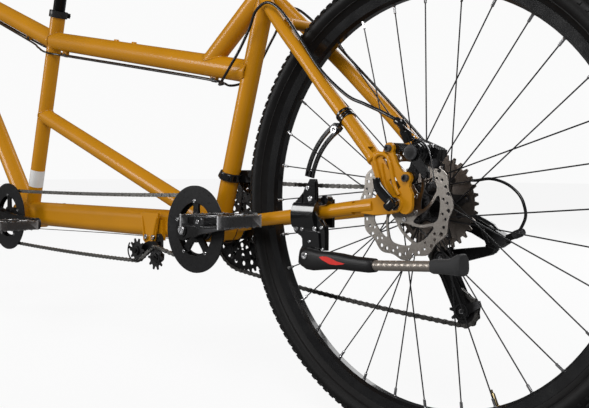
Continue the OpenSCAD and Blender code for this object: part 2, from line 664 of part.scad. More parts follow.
// ---------------------------------------------------------------- side stand
module kickstand_mount() color(black) at_axle() {
    stay_dir = unit([-106, 10, -107]);
    band = [103, 59.6, 125.5];
    plate_y(71, 80) polygon([[158, 34], [142, 34], [142, -4], [147, -14], [124, -34],
        [116, -52], [119, -76], [128, -96], [150, -100], [176, -92], [174, -70],
        [169, -57], [176, -48], [192, -28], [190, -4], [172, 6]]);
    plate_y(39, 46) polygon([[140, 4], [140, -42], [190, -42], [190, 0]]);
    plate_y(80, 83.8) polygon([[144, -62], [122, -60], [124, -92], [150, -96], [172, -88],
        [168, -66]]);
    for (c = [[184, -39], [146, -39], [150, 4]]) translate(xz(c)) {
        cyl_y(3, 40, 82);
        cyl_y(5, 79.5, 84);
    }
    translate([kick_pivot[0], 0, kick_pivot[2]]) cyl_y(5, 80, 99);
    // slotted brace up to the band on the seat stay
    translate([54, 0, 13]) plate_y(73, 77) difference() {
        polygon(concat(arc([0, 0], 118, 12, 61, 10), arc([0, 0], 101, 61, 12, 10)));
        polygon(concat(arc([0, 0], 112, 16, 57, 9), arc([0, 0], 107, 57, 16, 9)));
    }
    difference() {
        union() {
            rod(band - 8 * stay_dir, band + 8 * stay_dir, stay_r + 3.5);
            rod([106, 66, 113], [110, 78, 106], 6);
        }
        rod(band - 40 * stay_dir, band + 40 * stay_dir, stay_r + 0.1);
    }
    translate([110, 0, 106]) cyl_y(5.5, 72, 81);
    translate([152, 0, 24]) cyl_y(4.5, 70, 83);
}
module kickstand_leg() color(black) at_axle() {
    u = unit(kick_tip - kick_root);
    difference() {
        union() {
            translate([kick_pivot[0], 0, kick_pivot[2]]) cyl_y(14, 84.2, 96);
            cone(kick_root + [0, 6, 0] + 6 * u, kick_root + [0, 6, 0] + 84 * u, 5.7, 8.5);
            rod(kick_root + [0, 7, 0] + 60 * u, kick_root + [0, 7, 0] + 138 * u, 9);
        }
        translate([kick_pivot[0], 0, kick_pivot[2]]) cyl_y(5 + fit, 80, 100);
        translate([100, 70, -120]) cube([90, 14.1, 70]);
    }
    rod(kick_root + [0, 7, 0] + 130 * u, kick_root + [0, 7, 0] + 244 * u, 7.5);
    cone(kick_root + [0, 7, 0] + 238 * u, kick_root + [0, 7, 0] + 270 * u, 9.5, 11);
    cone(kick_root + [0, 7, 0] + 270 * u, kick_root + [0, 7, 0] + 284 * u, 11, 15.5);
}
module rear_qr_lever() color(black) at_axle() {
    lever_dir = [cos(50), 0, sin(50)];
    cam_dir = [-sin(50), 0, cos(50)];
    centre = [0, qr_y, 0];
    rod(centre - 8 * cam_dir, centre + 8 * cam_dir, 7);
    plate_y(qr_y - 3, qr_y + 3) rotate(50)
        polygon([[0, 7], [20, 8], [42, 6], [54, -2], [52, -6], [38, -3], [20, -5], [0, -7]]);
}

// ---------------------------------------------------------------- fork and handlebar
module fork() color(paint) at_axle() {
    crown = head_low - 36 * [axis_dir[0], axis_dir[2]];
    difference() {
        union() {
            rod(xz(head_low) - 16 * axis_dir, xz(head_high) + 52 * axis_dir, 14.3);
            rod(xz(head_low) - 36 * axis_dir, xz(head_low) - 10 * axis_dir, 20);
            translate(xz(crown)) cyl_y(20, -44, 44);
            for (e = [-1, 1]) {
                cone([crown[0], 44 * e, crown[1]], [wheelbase - 6, 53.5 * e, 22], 17, 10);
                plate_y(e * 53.5 - 3, e * 53.5 + 3)
                    polygon([[wheelbase - 20, 34], [wheelbase, 38], [wheelbase + 14, 8],
                        [wheelbase + 12, -10], [wheelbase - 12, -10], [wheelbase - 16, 8]]);
            }
        }
        translate([wheelbase, 0, 0]) cyl_y(6.2, -70, 70);
    }
    // through-axle, with a socket in its head
    translate([wheelbase, 0, 0]) difference() {
        union() {
            cyl_y(6, -60, 60);
            cyl_y(10, 57, 62);
        }
        cyl_y(3, 54, 64);
    }
}
function bar_points(c, bend, end) = let(inner = [c[0], 45, c[2]])
    concat([end, bend], [inner, [c[0], -45, c[2]]],
        [[bend[0], -bend[1], bend[2]], [end[0], -end[1], end[2]]]);
function bar_path(c, bend, end) = let(p = bar_points(c, bend, end), s = smooth(p, 5))
    concat([p[0]], [for (i = [5:len(s) - 6]) s[i]], [p[5]]);
module handlebar() color(black) at_axle() {
    swept(bar_path(bar_c, bar_bend, bar_end), 11, 20);
    stem_p = xz(head_high) + 32 * axis_dir;
    difference() {
        union() {
            rod(stem_p - 19 * axis_dir, stem_p + 24 * axis_dir, 19);
            rod(stem_p + 6 * unit(bar_c - stem_p), bar_c, 14);
            translate([bar_c[0], 0, bar_c[2]]) cyl_y(20, -24, 24);
        }
        rod(xz(head_low), stem_p + 20 * axis_dir, 14.3);
    }
}
module at_bar(s) along(bar_end, bar_bend) translate([0, 0, s]) children();
module grip_pair(p, q, l) {
    along(p, q) difference() {
        union() {
            translate([0, 0, -4]) cylinder(h = l + 4, r = 15.5);
            cylinder(h = 3, r = 18);
            translate([0, 0, l - 4]) cylinder(h = 4, r = 17.5);
        }
        cylinder(h = l + 1, r = 11);
    }
}
module handlebar_grips() color(rubber) at_axle() mirrored_y() grip_pair(bar_end, bar_bend, 130);
// Local axes at the bar: x down, y forward, z inward from the end
module lever_clamps() color(black) at_axle() mirrored_y() {
    at_bar(0) difference() {
        union() {
            translate([0, 0, 138]) cylinder(h = 12, r = 15);
            translate([-9, 8, 138]) cube([18, 15, 12]);
            translate([-9, 20, 138]) cube([4, 26, 26]);
            translate([5, 20, 138]) cube([4, 26, 26]);
            translate([0, 0, 156]) cylinder(h = 16, r = 15);
            translate([10, -14, 152]) cube([16, 30, 32]);
        }
        cylinder(h = 200, r = 11.05);
        translate([-20, 38, 158]) rotate([0, 90, 0]) cylinder(h = 40, r = 3);
        translate([10, -14, 166]) rotate([0, 90, 0]) translate([0, 6, -5]) cylinder(h = 30, r = 3);
    }
}
module brake_lever() at_bar(0) {
    translate([-9.5, 38, 158]) rotate([0, 90, 0]) cylinder(h = 19, r = 3 - fit);
    translate([-4.7, 34, 152]) cube([9.4, 9, 10]);
    translate([-4.7, 0, 0]) rotate([0, 90, 0]) linear_extrude(9.4)
        polygon([[-160, 36], [-160, 44], [-120, 52], [-60, 54], [-34, 58], [-30, 52], [-60, 46], [-118, 44], [-148, 34]]);
}
module left_brake_lever() color("dimgray") at_axle() brake_lever();
module right_brake_lever() color("dimgray") at_axle() mirror([0, 1, 0]) brake_lever();
module shifter() at_bar(0) {
    translate([10, -8, 166]) rotate([0, 90, 0]) {
        translate([0, 0, 0.8]) cylinder(h = 15.7, r = 3 - fit);
        translate([0, 0, 16.3]) linear_extrude(3) {
            circle(r = 7);
            polygon([[-5, -5], [5, -5], [10, -34], [-10, -34]]);
        }
    }
}
module left_shifter() color(black) at_axle() shifter();
module right_shifter() color(black) at_axle() mirror([0, 1, 0]) shifter();

// ---------------------------------------------------------------- saddles
module seatpost(bb, angle, length, low) {
    top = xz(on_seat(bb, angle, length - 52));
    rod(xz(on_seat(bb, angle, low)), top, post_r);
    translate(top) {
        cyl_y(15, -23, 23);
        for (e = [-1, 1]) rod([-75, 22 * e, 14], [65, 22 * e, 14], 3.5);
        for (e = [-1, 1]) {
            rod([63, 22 * e, 14], [120, 8 * e, 30], 3.2);
            rod([-73, 22 * e, 14], [-112, 42 * e, 30], 3.2);
        }
        translate([-20, -27, 6]) cube([40, 54, 15]);
    }
}
module saddle(bb, angle, length) at_axle(on_seat(bb, angle, length - 52)[0],
    on_seat(bb, angle, length - 52)[1]) hull() {
    for (e = [-1, 1]) translate([-108, 48 * e, 44]) scale([1.2, 1, 0.55]) sphere(r = 27, $fn = 24);
    for (e = [-1, 1]) translate([-40, 40 * e, 42]) sphere(r = 11, $fn = 16);
    translate([122, 0, 42]) scale([1.3, 1, 0.7]) sphere(r = 18, $fn = 24);
    translate([30, 0, 44]) scale([1, 1.2, 0.5]) sphere(r = 22, $fn = 24);
}
module front_seatpost() color(black) at_axle()
    seatpost(front_seat_foot, front_seat_angle, front_saddle_l, 330);
module rear_seatpost() color(black) at_axle()
    seatpost(rear_bb, rear_seat_angle, rear_saddle_l, 320);
module front_saddle() color("#26262a") saddle(front_seat_foot, front_seat_angle, front_saddle_l);
module rear_saddle() color("#26262a") saddle(rear_bb, rear_seat_angle, rear_saddle_l);
stoker_bend = [870, 190, 500];
stoker_end = [760, 245, 496];
module stoker_handlebar() color(black) at_axle() {
    clamp = on_seat(front_seat_foot, front_seat_angle, 520);
    swept(bar_path(stoker_c, stoker_bend, stoker_end), 11, 20);
    difference() {
        union() {
            along(xz(clamp), xz(on_seat(front_seat_foot, front_seat_angle, 560)))
                cylinder(h = 38, r = post_r + 5);
            rod([clamp[0] - 18, 0, clamp[1] + 16], stoker_c, 13);
            translate([stoker_c[0], 0, stoker_c[2]]) cyl_y(18, -22, 22);
        }
        rod(xz(front_seat_foot), xz(on_seat(front_seat_foot, front_seat_angle, 630)), post_r);
    }
}
module stoker_grips() color(rubber) at_axle() mirrored_y() grip_pair(stoker_end, stoker_bend, 100);

// ---------------------------------------------------------------- cables
// Routes from lever to brake or gear changer; round numbers from the rear axle
brake_route = [[1650, -190, 668], [1712, -150, 640], [1700, -70, 560], [1610, -38, 534],
    [1480, -10, 486], [1150, -6, 358], [1085, -14, 332], [1040, -21.5, 316],
    [985, -7, 304], [700, -6, 253], [468, -4, 210],
    [440, 14, 200], [412, 28, 209], [388, 32, 229], [366, 33, 252], [341, 33, 286],
    [320, 38, 312], [288, 42, 321], [255, 43, 302], [209, 48, 254], [157, 56, 199],
    [98, 66, 157], [58, 72, 141], [20, 79, 127], [-10, 80, 111]];
gear_route = [[1640, 170, 654], [1706, 130, 622], [1690, 60, 548], [1606, 37, 530],
    [1478, 10, 485], [1150, 6, 357], [1085, 14, 331], [1040, 21.5, 315],
    [985, 7, 303], [700, 6, 252], [468, 6, 210],
    [440, -14, 200], [412, -28, 209], [386, -34, 236], [352, -35, 280], [310, -36, 326],
    [250, -46, 286], [170, -62, 206], [80, -74, 116], [20, -84, 52], [-20, -84, 33],
    [-55, -84, 35], [-82, -84, 28], [-102, -84, 13], [-111, -84, -5], [-112, -84, -22],
    [-102, -82, -44]];
front_gear_route = [[1130, -8, -98], [800, -8, -91], [600, -8, -90], [452, -8, -88],
    [424, -8, -79], [413, -10, -50], [411, -14, -10], [412, -22, 21]];
module cables() color("#141414") at_axle() {
    swept(smooth(brake_route, 2), 2.5, 8);
    swept(smooth(gear_route, 2), 2.2, 8);
    swept(front_gear_route, 0.8, 8);
}

// ---------------------------------------------------------------- the whole bicycle
frame_shells();
top_tube();
seat_tubes();
sloping_tubes();
boom_tube();
rear_stays();
dropouts();
bearing_cups();
seat_clamps();
rear_caliper();
rear_brake_arm();
front_derailleur();
front_derailleur_cage();
tensioner_arm();
front_idler();
rear_idler();
kickstand_mount();
kickstand_leg();
rear_axle();
rear_qr_lever();
drive_chain();
timing_chain();
cables();
rear_derailleur();
derailleur_link();
derailleur_cage();
upper_jockey();
lower_jockey();
rear_tyre();
rear_rim();
rear_spokes();
rear_hub();
rear_rotor();
cassette();
front_tyre();
front_rim();
front_spokes();
front_hub();
front_rotor();
fork();
handlebar();
handlebar_grips();
front_caliper();
lever_clamps();
left_brake_lever();
right_brake_lever();
left_shifter();
right_shifter();
front_seatpost();
front_saddle();
rear_seatpost();
rear_saddle();
stoker_handlebar();
stoker_grips();
front_crankset();
rear_crankset();
front_left_pedal();
front_right_pedal();
rear_left_pedal();
rear_right_pedal();
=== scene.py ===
import bpy
import bmesh
import math
import random
import numpy as np
from mathutils import Vector, Matrix


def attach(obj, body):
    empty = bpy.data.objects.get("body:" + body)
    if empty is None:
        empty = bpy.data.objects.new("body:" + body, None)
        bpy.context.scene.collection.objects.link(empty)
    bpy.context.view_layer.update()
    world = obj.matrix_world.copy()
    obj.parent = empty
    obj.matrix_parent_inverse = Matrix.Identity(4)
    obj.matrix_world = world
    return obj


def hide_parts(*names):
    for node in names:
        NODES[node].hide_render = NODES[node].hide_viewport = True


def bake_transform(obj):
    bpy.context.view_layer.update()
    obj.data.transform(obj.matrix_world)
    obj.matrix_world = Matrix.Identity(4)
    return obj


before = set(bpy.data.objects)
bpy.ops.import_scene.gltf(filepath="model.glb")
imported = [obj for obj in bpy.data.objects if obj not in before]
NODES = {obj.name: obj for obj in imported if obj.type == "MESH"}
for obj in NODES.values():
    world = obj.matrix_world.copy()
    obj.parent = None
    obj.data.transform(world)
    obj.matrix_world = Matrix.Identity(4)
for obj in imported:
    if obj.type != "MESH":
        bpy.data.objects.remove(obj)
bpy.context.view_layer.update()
WHEELBASE = 1806.0
TYRE_R = 358.0


def P(p):
    """A point in millimetres from the rear axle, as metres in the row frame."""
    return ((p[0] - WHEELBASE / 2) / 1000, p[1] / 1000, (p[2] + TYRE_R) / 1000)


# ---------------------------------------------------------------- materials
def new_material(name, color, rough, metal=0.0, coat=0.0, coat_rough=0.05, specular=0.5,
                 noise=220.0, spread=0.12, rough_spread=0.08, bump=0.0, bump_scale=900.0,
                 edge_wear_and_highlight=0.0, edge_wear_and_highlight_color=(0.5, 0.5, 0.5), sheen=0.0, grain=None):
    """A node material: colour, roughness and bump vary with noise in object space."""
    m = bpy.data.materials.new(name)
    m.use_nodes = True
    nt = m.node_tree
    nodes, links = nt.nodes, nt.links
    shader = nodes["Principled BSDF"]
    shader.inputs["Metallic"].default_value = metal
    shader.inputs["Coat Weight"].default_value = coat
    shader.inputs["Coat Roughness"].default_value = coat_rough
    shader.inputs["Specular IOR Level"].default_value = specular
    shader.inputs["Sheen Weight"].default_value = sheen
    coord = nodes.new("ShaderNodeTexCoord")
    source = coord.outputs["Object"]
    if grain is not None:
        mapping = nodes.new("ShaderNodeMapping")
        mapping.inputs["Scale"].default_value = grain
        links.new(source, mapping.inputs["Vector"])
        source = mapping.outputs["Vector"]
    tex = nodes.new("ShaderNodeTexNoise")
    tex.inputs["Scale"].default_value = noise
    tex.inputs["Detail"].default_value = 5.0
    links.new(source, tex.inputs["Vector"])
    ramp = nodes.new("ShaderNodeValToRGB")
    low = [max(0.0, c * (1 - spread)) for c in color]
    high = [min(1.0, c * (1 + spread)) for c in color]
    ramp.color_ramp.elements[0].position = 0.3
    ramp.color_ramp.elements[0].color = (*low, 1)
    ramp.color_ramp.elements[1].position = 0.7
    ramp.color_ramp.elements[1].color = (*high, 1)
    links.new(tex.outputs["Fac"], ramp.inputs["Fac"])
    out = ramp.outputs["Color"]
    # Edges found by pointiness are lightened towards the second colour in noisy patches: partly
    # real edge wear, partly a painted edge highlight, strongest on the pedals.
    if edge_wear_and_highlight > 0:
        geo = nodes.new("ShaderNodeNewGeometry")
        edge = nodes.new("ShaderNodeMapRange")
        edge.inputs["From Min"].default_value = 0.53
        edge.inputs["From Max"].default_value = 0.6
        edge.inputs["To Max"].default_value = edge_wear_and_highlight
        links.new(geo.outputs["Pointiness"], edge.inputs["Value"])
        patch = nodes.new("ShaderNodeTexNoise")
        patch.inputs["Scale"].default_value = 400.0
        links.new(coord.outputs["Object"], patch.inputs["Vector"])
        both = nodes.new("ShaderNodeMath")
        both.operation = "MULTIPLY"
        links.new(edge.outputs["Result"], both.inputs[0])
        links.new(patch.outputs["Fac"], both.inputs[1])
        mix = nodes.new("ShaderNodeMix")
        mix.data_type = "RGBA"
        mix.inputs[7].default_value = (*edge_wear_and_highlight_color, 1)
        links.new(both.outputs["Value"], mix.inputs[0])
        links.new(out, mix.inputs[6])
        out = mix.outputs[2]
    links.new(out, shader.inputs["Base Color"])
    rr = nodes.new("ShaderNodeMapRange")
    rr.inputs["To Min"].default_value = max(0.02, rough - rough_spread)
    rr.inputs["To Max"].default_value = min(1.0, rough + rough_spread)
    links.new(tex.outputs["Fac"], rr.inputs["Value"])
    links.new(rr.outputs["Result"], shader.inputs["Roughness"])
    if bump > 0:
        fine = nodes.new("ShaderNodeTexNoise")
        fine.inputs["Scale"].default_value = bump_scale
        fine.inputs["Detail"].default_value = 3.0
        links.new(source, fine.inputs["Vector"])
        b = nodes.new("ShaderNodeBump")
        b.inputs["Strength"].default_value = bump
        b.inputs["Distance"].default_value = 0.0004
        links.new(fine.outputs["Fac"], b.inputs["Height"])
        links.new(b.outputs["Normal"], shader.inputs["Normal"])
    return m


MAT = {
    "paint": new_material("mustard_paint", (0.49, 0.205, 0.002), 0.40, coat=0.3, coat_rough=0.16,
                          specular=0.15, noise=9.0, spread=0.05, rough_spread=0.04, bump=0.02,
                          bump_scale=500),
    "weld": new_material("painted_weld", (0.46, 0.19, 0.002), 0.38, coat=0.5, coat_rough=0.08,
                         specular=0.25, noise=60.0, spread=0.1, bump=0.25, bump_scale=500),
    "black": new_material("black_anodised", (0.005, 0.0048, 0.005), 0.30, specular=0.25, noise=160,
                          bump=0.10, edge_wear_and_highlight=0.5, edge_wear_and_highlight_color=(0.22, 0.22, 0.23)),
    "gloss": new_material("gloss_black", (0.006, 0.006, 0.0065), 0.16, coat=0.6, noise=60,
                          rough_spread=0.05, bump=0.03),
    "plastic": new_material("black_plastic", (0.009, 0.0085, 0.009), 0.42, specular=0.35,
                            noise=300, bump=0.3, bump_scale=1600),
    "steel": new_material("bright_steel", (0.62, 0.62, 0.63), 0.27, metal=1.0, noise=260,
                          spread=0.06, bump=0.12, bump_scale=1400, grain=(1, 1, 6)),
    "rotor": new_material("rotor_steel", (0.36, 0.33, 0.30), 0.34, metal=1.0, noise=380,
                          spread=0.10, rough_spread=0.10, bump=0.15, bump_scale=2400),
    "cassette": new_material("cassette_steel", (0.21, 0.18, 0.16), 0.40, metal=1.0, noise=260,
                             spread=0.15, rough_spread=0.1, bump=0.15, bump_scale=1500,
                             edge_wear_and_highlight=0.6, edge_wear_and_highlight_color=(0.34, 0.31, 0.28)),
    "chain": new_material("chain_steel", (0.17, 0.165, 0.155), 0.34, metal=1.0, noise=420,
                          spread=0.22, rough_spread=0.12, bump=0.15, edge_wear_and_highlight=0.5,
                          edge_wear_and_highlight_color=(0.5, 0.49, 0.46)),
    "drive": new_material("drive_chain_steel", (0.055, 0.052, 0.049), 0.36, metal=0.9, noise=420,
                          spread=0.22, rough_spread=0.12, bump=0.15, edge_wear_and_highlight=0.5,
                          edge_wear_and_highlight_color=(0.35, 0.34, 0.32)),
    "tyre": new_material("tyre_rubber", (0.005, 0.0046, 0.0046), 0.50, specular=0.25, noise=90,
                         spread=0.2, bump=0.35, bump_scale=1300, edge_wear_and_highlight=0.25,
                         edge_wear_and_highlight_color=(0.035, 0.035, 0.035)),
    "rubber": new_material("grip_rubber", (0.017, 0.017, 0.018), 0.7, noise=300, spread=0.15,
                           bump=0.4, bump_scale=2200, sheen=0.1),
    "rim": new_material("rim_black", (0.006, 0.006, 0.0065), 0.2, coat=0.5, coat_rough=0.06,
                        noise=40, spread=0.1, bump=0.03),
    "spoke": new_material("spoke_black", (0.02, 0.02, 0.021), 0.33, metal=0.3, noise=120,
                          bump=0.05),
    "leather": new_material("saddle_cover", (0.018, 0.018, 0.020), 0.55, noise=180, spread=0.14,
                            bump=0.7, bump_scale=900, sheen=0.15),
    "sheath": new_material("cable_sheath", (0.010, 0.010, 0.011), 0.3, coat=0.4, noise=200,
                           bump=0.05),
    "bronze": new_material("grooved_tube", (0.42, 0.375, 0.33), 0.36, metal=0.8, noise=180,
                           spread=0.12, bump=0.15, grain=(6, 1, 6)),
    "red": new_material("red_plastic", (0.62, 0.018, 0.012), 0.35, coat=0.4, noise=90,
                        spread=0.08, bump=0.1),
    "label": new_material("plain_sticker", (0.68, 0.68, 0.67), 0.35, coat=0.5, noise=60,
                          spread=0.04, bump=0.05),
    # The pedals' near-white edges from the strong edge lightening here are a painted highlight.
    "pedal": new_material("black_with_painted_edge_highlight", (0.012, 0.012, 0.013), 0.2, specular=0.5, noise=160,
                          bump=0.08, edge_wear_and_highlight=1.6, edge_wear_and_highlight_color=(0.75, 0.75, 0.76)),
    "carrier": new_material("black_carrier", (0.012, 0.011, 0.011), 0.35, specular=0.3, noise=200,
                            bump=0.1),
    "brass": new_material("brass_nickel", (0.55, 0.43, 0.22), 0.3, metal=1.0, noise=200,
                          spread=0.1, bump=0.1),
}
CAD_LOOK = {
    "paint": "frame_shells top_tube seat_tubes sloping_tubes boom_tube rear_stays dropouts fork",
    "black": "bearing_cups seat_clamps rear_caliper rear_brake_arm front_derailleur tensioner_arm "
             "rear_derailleur derailleur_cage handlebar front_caliper lever_clamps "
             "left_brake_lever right_brake_lever front_seatpost rear_seatpost stoker_handlebar "
             "front_crankset rear_crankset kickstand_mount kickstand_leg derailleur_link "
             "front_derailleur_cage rear_hub front_hub rear_qr_lever",
    "plastic": "front_idler rear_idler upper_jockey lower_jockey left_shifter right_shifter "
               "front_left_pedal front_right_pedal rear_left_pedal rear_right_pedal",
    "steel": "rear_axle",
    "rotor": "rear_rotor front_rotor",
    "cassette": "cassette",
    "chain": "drive_chain timing_chain",
    "tyre": "rear_tyre front_tyre",
    "rim": "rear_rim front_rim",
    "spoke": "rear_spokes front_spokes",
    "leather": "front_saddle rear_saddle",
    "sheath": "cables",
    "rubber": "handlebar_grips stoker_grips",
}
for look, names in CAD_LOOK.items():
    for n in names.split():
        data = NODES[n].data
        if not data.materials:
            data.materials.append(MAT[look])
        for i in range(len(data.materials)):
            data.materials[i] = MAT[look]


# ---------------------------------------------------------------- camera, floor and light
def camera():
    yaw, pitch, roll = (math.radians(a) for a in (43.718, -2.278, 0.361))
    d = Vector((math.sin(yaw) * math.cos(pitch), -math.cos(yaw) * math.cos(pitch),
                math.sin(pitch)))
    r = d.cross(Vector((0, 0, 1))).normalized()
    u = r.cross(d)
    r2 = r * math.cos(roll) + u * math.sin(roll)
    u2 = u * math.cos(roll) - r * math.sin(roll)
    cam = bpy.data.objects.new("camera", bpy.data.cameras.new("camera"))
    bpy.context.scene.collection.objects.link(cam)
    place = Matrix((r2, u2, -d)).transposed().to_4x4()
    place.translation = Vector(P((-677.1, 984.4, 43.8)))
    cam.matrix_world = place
    cam.data.sensor_width = 36.0
    cam.data.lens = 49.75
    cam.data.clip_start = 0.02
    bpy.context.scene.camera = cam


def area_light(name, at, target, size, power):
    data = bpy.data.lights.new(name, "AREA")
    data.energy = power
    data.size = size
    o = bpy.data.objects.new(name, data)
    bpy.context.scene.collection.objects.link(o)
    o.location = at
    o.rotation_euler = (Vector(target) - Vector(at)).to_track_quat("-Z", "Y").to_euler()


def by_ray(tree, values):
    """A strength that is values[0] for the picture, [1] for soft light, [2] for reflections."""
    path = tree.nodes.new("ShaderNodeLightPath")
    out = None
    for k, ray in ((1, "Is Diffuse Ray"), (0, "Is Camera Ray")):
        mix = tree.nodes.new("ShaderNodeMix")
        mix.data_type = "FLOAT"
        mix.inputs[2].default_value = values[2]
        mix.inputs[3].default_value = values[k]
        tree.links.new(path.outputs[ray], mix.inputs[0])
        if out is not None:
            tree.links.new(out, mix.inputs[2])
        out = mix.outputs[0]
    return out


def studio():
    bpy.ops.mesh.primitive_plane_add(size=60, location=(0, 0, 0))
    floor = bpy.context.object
    floor.name = "floor"
    look = new_material("floor", (0.09, 0.09, 0.091), 0.8, noise=3, spread=0.01,
                        rough_spread=0.03)
    tree = look.node_tree
    shader = tree.nodes["Principled BSDF"]
    shader.inputs["Specular IOR Level"].default_value = 0.0
    shader.inputs["Emission Color"].default_value = (1, 1, 1, 1)
    tree.links.new(by_ray(tree, (0.872, 0.46, 0.04)), shader.inputs["Emission Strength"])
    floor.data.materials.append(look)
    world = bpy.data.worlds.new("world")
    bpy.context.scene.world = world
    bpy.context.scene.view_settings.view_transform = "Standard"
    bpy.context.scene.view_settings.look = "None"
    world.use_nodes = True
    sky = world.node_tree.nodes["Background"]
    sky.inputs["Color"].default_value = (1.0, 1.0, 1.0, 1)
    world.node_tree.links.new(by_ray(world.node_tree, (0.96, 0.52, 0.05)), sky.inputs["Strength"])
    area_light("key", (-2.6, 3.0, 3.4), (-0.6, 0, 0.4), 2.0, 112)
    area_light("side", (2.6, 3.4, 1.6), (0.3, 0, 0.4), 1.6, 76)
    area_light("far_side", (-0.5, -3.4, 2.6), (-0.3, 0, 0.4), 2.4, 60)


camera()
studio()


# ---------------------------------------------------------------- mesh tools (millimetres)
LEFT, RIGHT = (0, 1, 0), (0, -1, 0)


class Geo:
    """Collects (vertices, faces) shapes, in millimetres from the rear axle."""

    def __init__(self, *shapes):
        self.v, self.f = [], []
        self.add(*shapes)

    def add(self, *shapes):
        for verts, faces in shapes:
            k = len(self.v)
            self.v.extend(tuple(p) for p in verts)
            self.f.extend(tuple(i + k for i in f) for f in faces)

    def piece(self, name, look, body, replaces=(), sharp=35, bevel=0.0, subdivide=0):
        """Makes one object; body is None for a piece that runs between two bodies, which is
        attached to neither.
        """
        me = bpy.data.meshes.new(name)
        me.from_pydata([P(p) for p in self.v], [], self.f)
        bm = bmesh.new()
        bm.from_mesh(me)
        bmesh.ops.remove_doubles(bm, verts=bm.verts, dist=1e-6)
        bmesh.ops.recalc_face_normals(bm, faces=bm.faces)
        bm.to_mesh(me)
        bm.free()
        me.materials.append(MAT[look])
        me.shade_smooth()
        me.set_sharp_from_angle(angle=math.radians(sharp))
        o = bpy.data.objects.new(name, me)
        bpy.context.scene.collection.objects.link(o)
        if bevel:
            soften(o, bevel, 30)
        if subdivide:
            mod = o.modifiers.new("subdivision", "SUBSURF")
            mod.levels = subdivide
            mod.render_levels = subdivide
        if body:
            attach(o, body)
        if replaces:
            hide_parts(*replaces)
        return o


def soften(o, width, angle):
    """Bevels the edges of an object that are sharper than angle."""
    mod = o.modifiers.new("bevel", "BEVEL")
    mod.width = width / 1000
    mod.segments = 2
    mod.limit_method = "ANGLE"
    mod.angle_limit = math.radians(angle)


def loft(rings, closed=False):
    """Skins rings of equally many points, with flat ends unless the last joins the first."""
    m, n = len(rings), len(rings[0])
    faces = [(i * n + k, i * n + (k + 1) % n, (i + 1) % m * n + (k + 1) % n, (i + 1) % m * n + k)
             for i in range(m if closed else m - 1) for k in range(n)]
    if not closed:
        faces += [tuple(range(n)), tuple((m - 1) * n + k for k in range(n))]
    return [p for points in rings for p in points], faces


def frames(points, closed=False):
    """Parallel-transport frames along points: a list of (point, side, up)."""
    pts = [Vector(p) for p in points]
    n = len(pts)
    tangents = []
    for i in range(n):
        a = pts[(i - 1) % n] if closed or i > 0 else pts[i]
        b = pts[(i + 1) % n] if closed or i < n - 1 else pts[i]
        tangents.append((b - a).normalized())
    side = basis(tangents[0], (0, 1, 0))[0]
    out = []
    for p, t in zip(pts, tangents):
        side = (side - side.dot(t) * t).normalized()
        out.append((p, side, t.cross(side)))
    return out


def basis(axis, spare=(1, 0, 0)):
    """Two unit vectors square to axis, and the axis; spare is used when it stands upright."""
    t = Vector(axis).normalized()
    a = t.cross(Vector((0, 0, 1)))
    if a.length < 0.1:
        a = t.cross(Vector(spare))
    a.normalize()
    return a, t.cross(a), t


def tube(points, r, n=12, closed=False):
    """A round tube; r is one radius or one for each point."""
    rs = r if hasattr(r, "__len__") else [r] * len(points)
    turns = [2 * math.pi * k / n for k in range(n)]
    return loft([[p + q * (math.cos(t) * a + math.sin(t) * b) for t in turns]
                 for (p, a, b), q in zip(frames(points, closed), rs)], closed)


def lathe(profile, origin, axis=LEFT, n=48, closed=False):
    """Profile of (radius, height) turned about an axis through origin."""
    a, b, t = basis(axis)
    o = Vector(origin)
    v, f = [], []
    m = len(profile)
    for k in range(n):
        q = 2 * math.pi * k / n
        d = math.cos(q) * a + math.sin(q) * b
        v += [o + r * d + h * t for r, h in profile]
    for k in range(n):
        l = (k + 1) % n
        for i in range(m if closed else m - 1):
            j = (i + 1) % m
            f.append((k * m + i, k * m + j, l * m + j, l * m + i))
    if not closed:
        for i in (0, m - 1):
            if profile[i][0] > 1e-6:
                f.append(tuple(k * m + i for k in range(n)))
    return v, f


def collar(centre, axis, r0, r1, length, n=40):
    """A ring with a small chamfer on its outer edges, centred on centre."""
    h = length / 2
    return lathe([(r0, -h), (r1 - 0.6, -h), (r1, -h + 0.6), (r1, h - 0.6), (r1 - 0.6, h), (r0, h)],
                 centre, axis, n, closed=True)


def bolt(origin, axis, r=4.0, h=3.0):
    """A socket-head bolt whose head stands on origin and points along axis."""
    return lathe([(0, 0), (r, 0), (r, h - 0.6), (r - 0.6, h), (r * 0.5, h), (r * 0.45, h - 1.4),
                  (0, h - 1.4)], origin, axis, 20)


def bolts(name, body, heads, look="steel"):
    """One piece of bolt heads, each given as (origin, axis, radius, height)."""
    Geo(*[bolt(*head) for head in heads]).piece(name, look, body)


def plate(outline, y0, y1):
    """A flat plate from an outline of (x, z), between two values of y."""
    n = len(outline)
    v = [(x, y0, z) for x, z in outline] + [(x, y1, z) for x, z in outline]
    f = [tuple(range(n)), tuple(range(2 * n - 1, n - 1, -1))]
    f += [(i, (i + 1) % n, n + (i + 1) % n, n + i) for i in range(n)]
    return v, f


def block(c, s, m=None):
    """A box with centre c and size s, turned by the 3x3 matrix m."""
    v = []
    for i in (-0.5, 0.5):
        for j in (-0.5, 0.5):
            for k in (-0.5, 0.5):
                q = Vector((i * s[0], j * s[1], k * s[2]))
                v.append(Vector(c) + (m @ q if m is not None else q))
    return v, [(0, 1, 3, 2), (4, 6, 7, 5), (0, 4, 5, 1), (2, 3, 7, 6), (0, 2, 6, 4), (1, 5, 7, 3)]


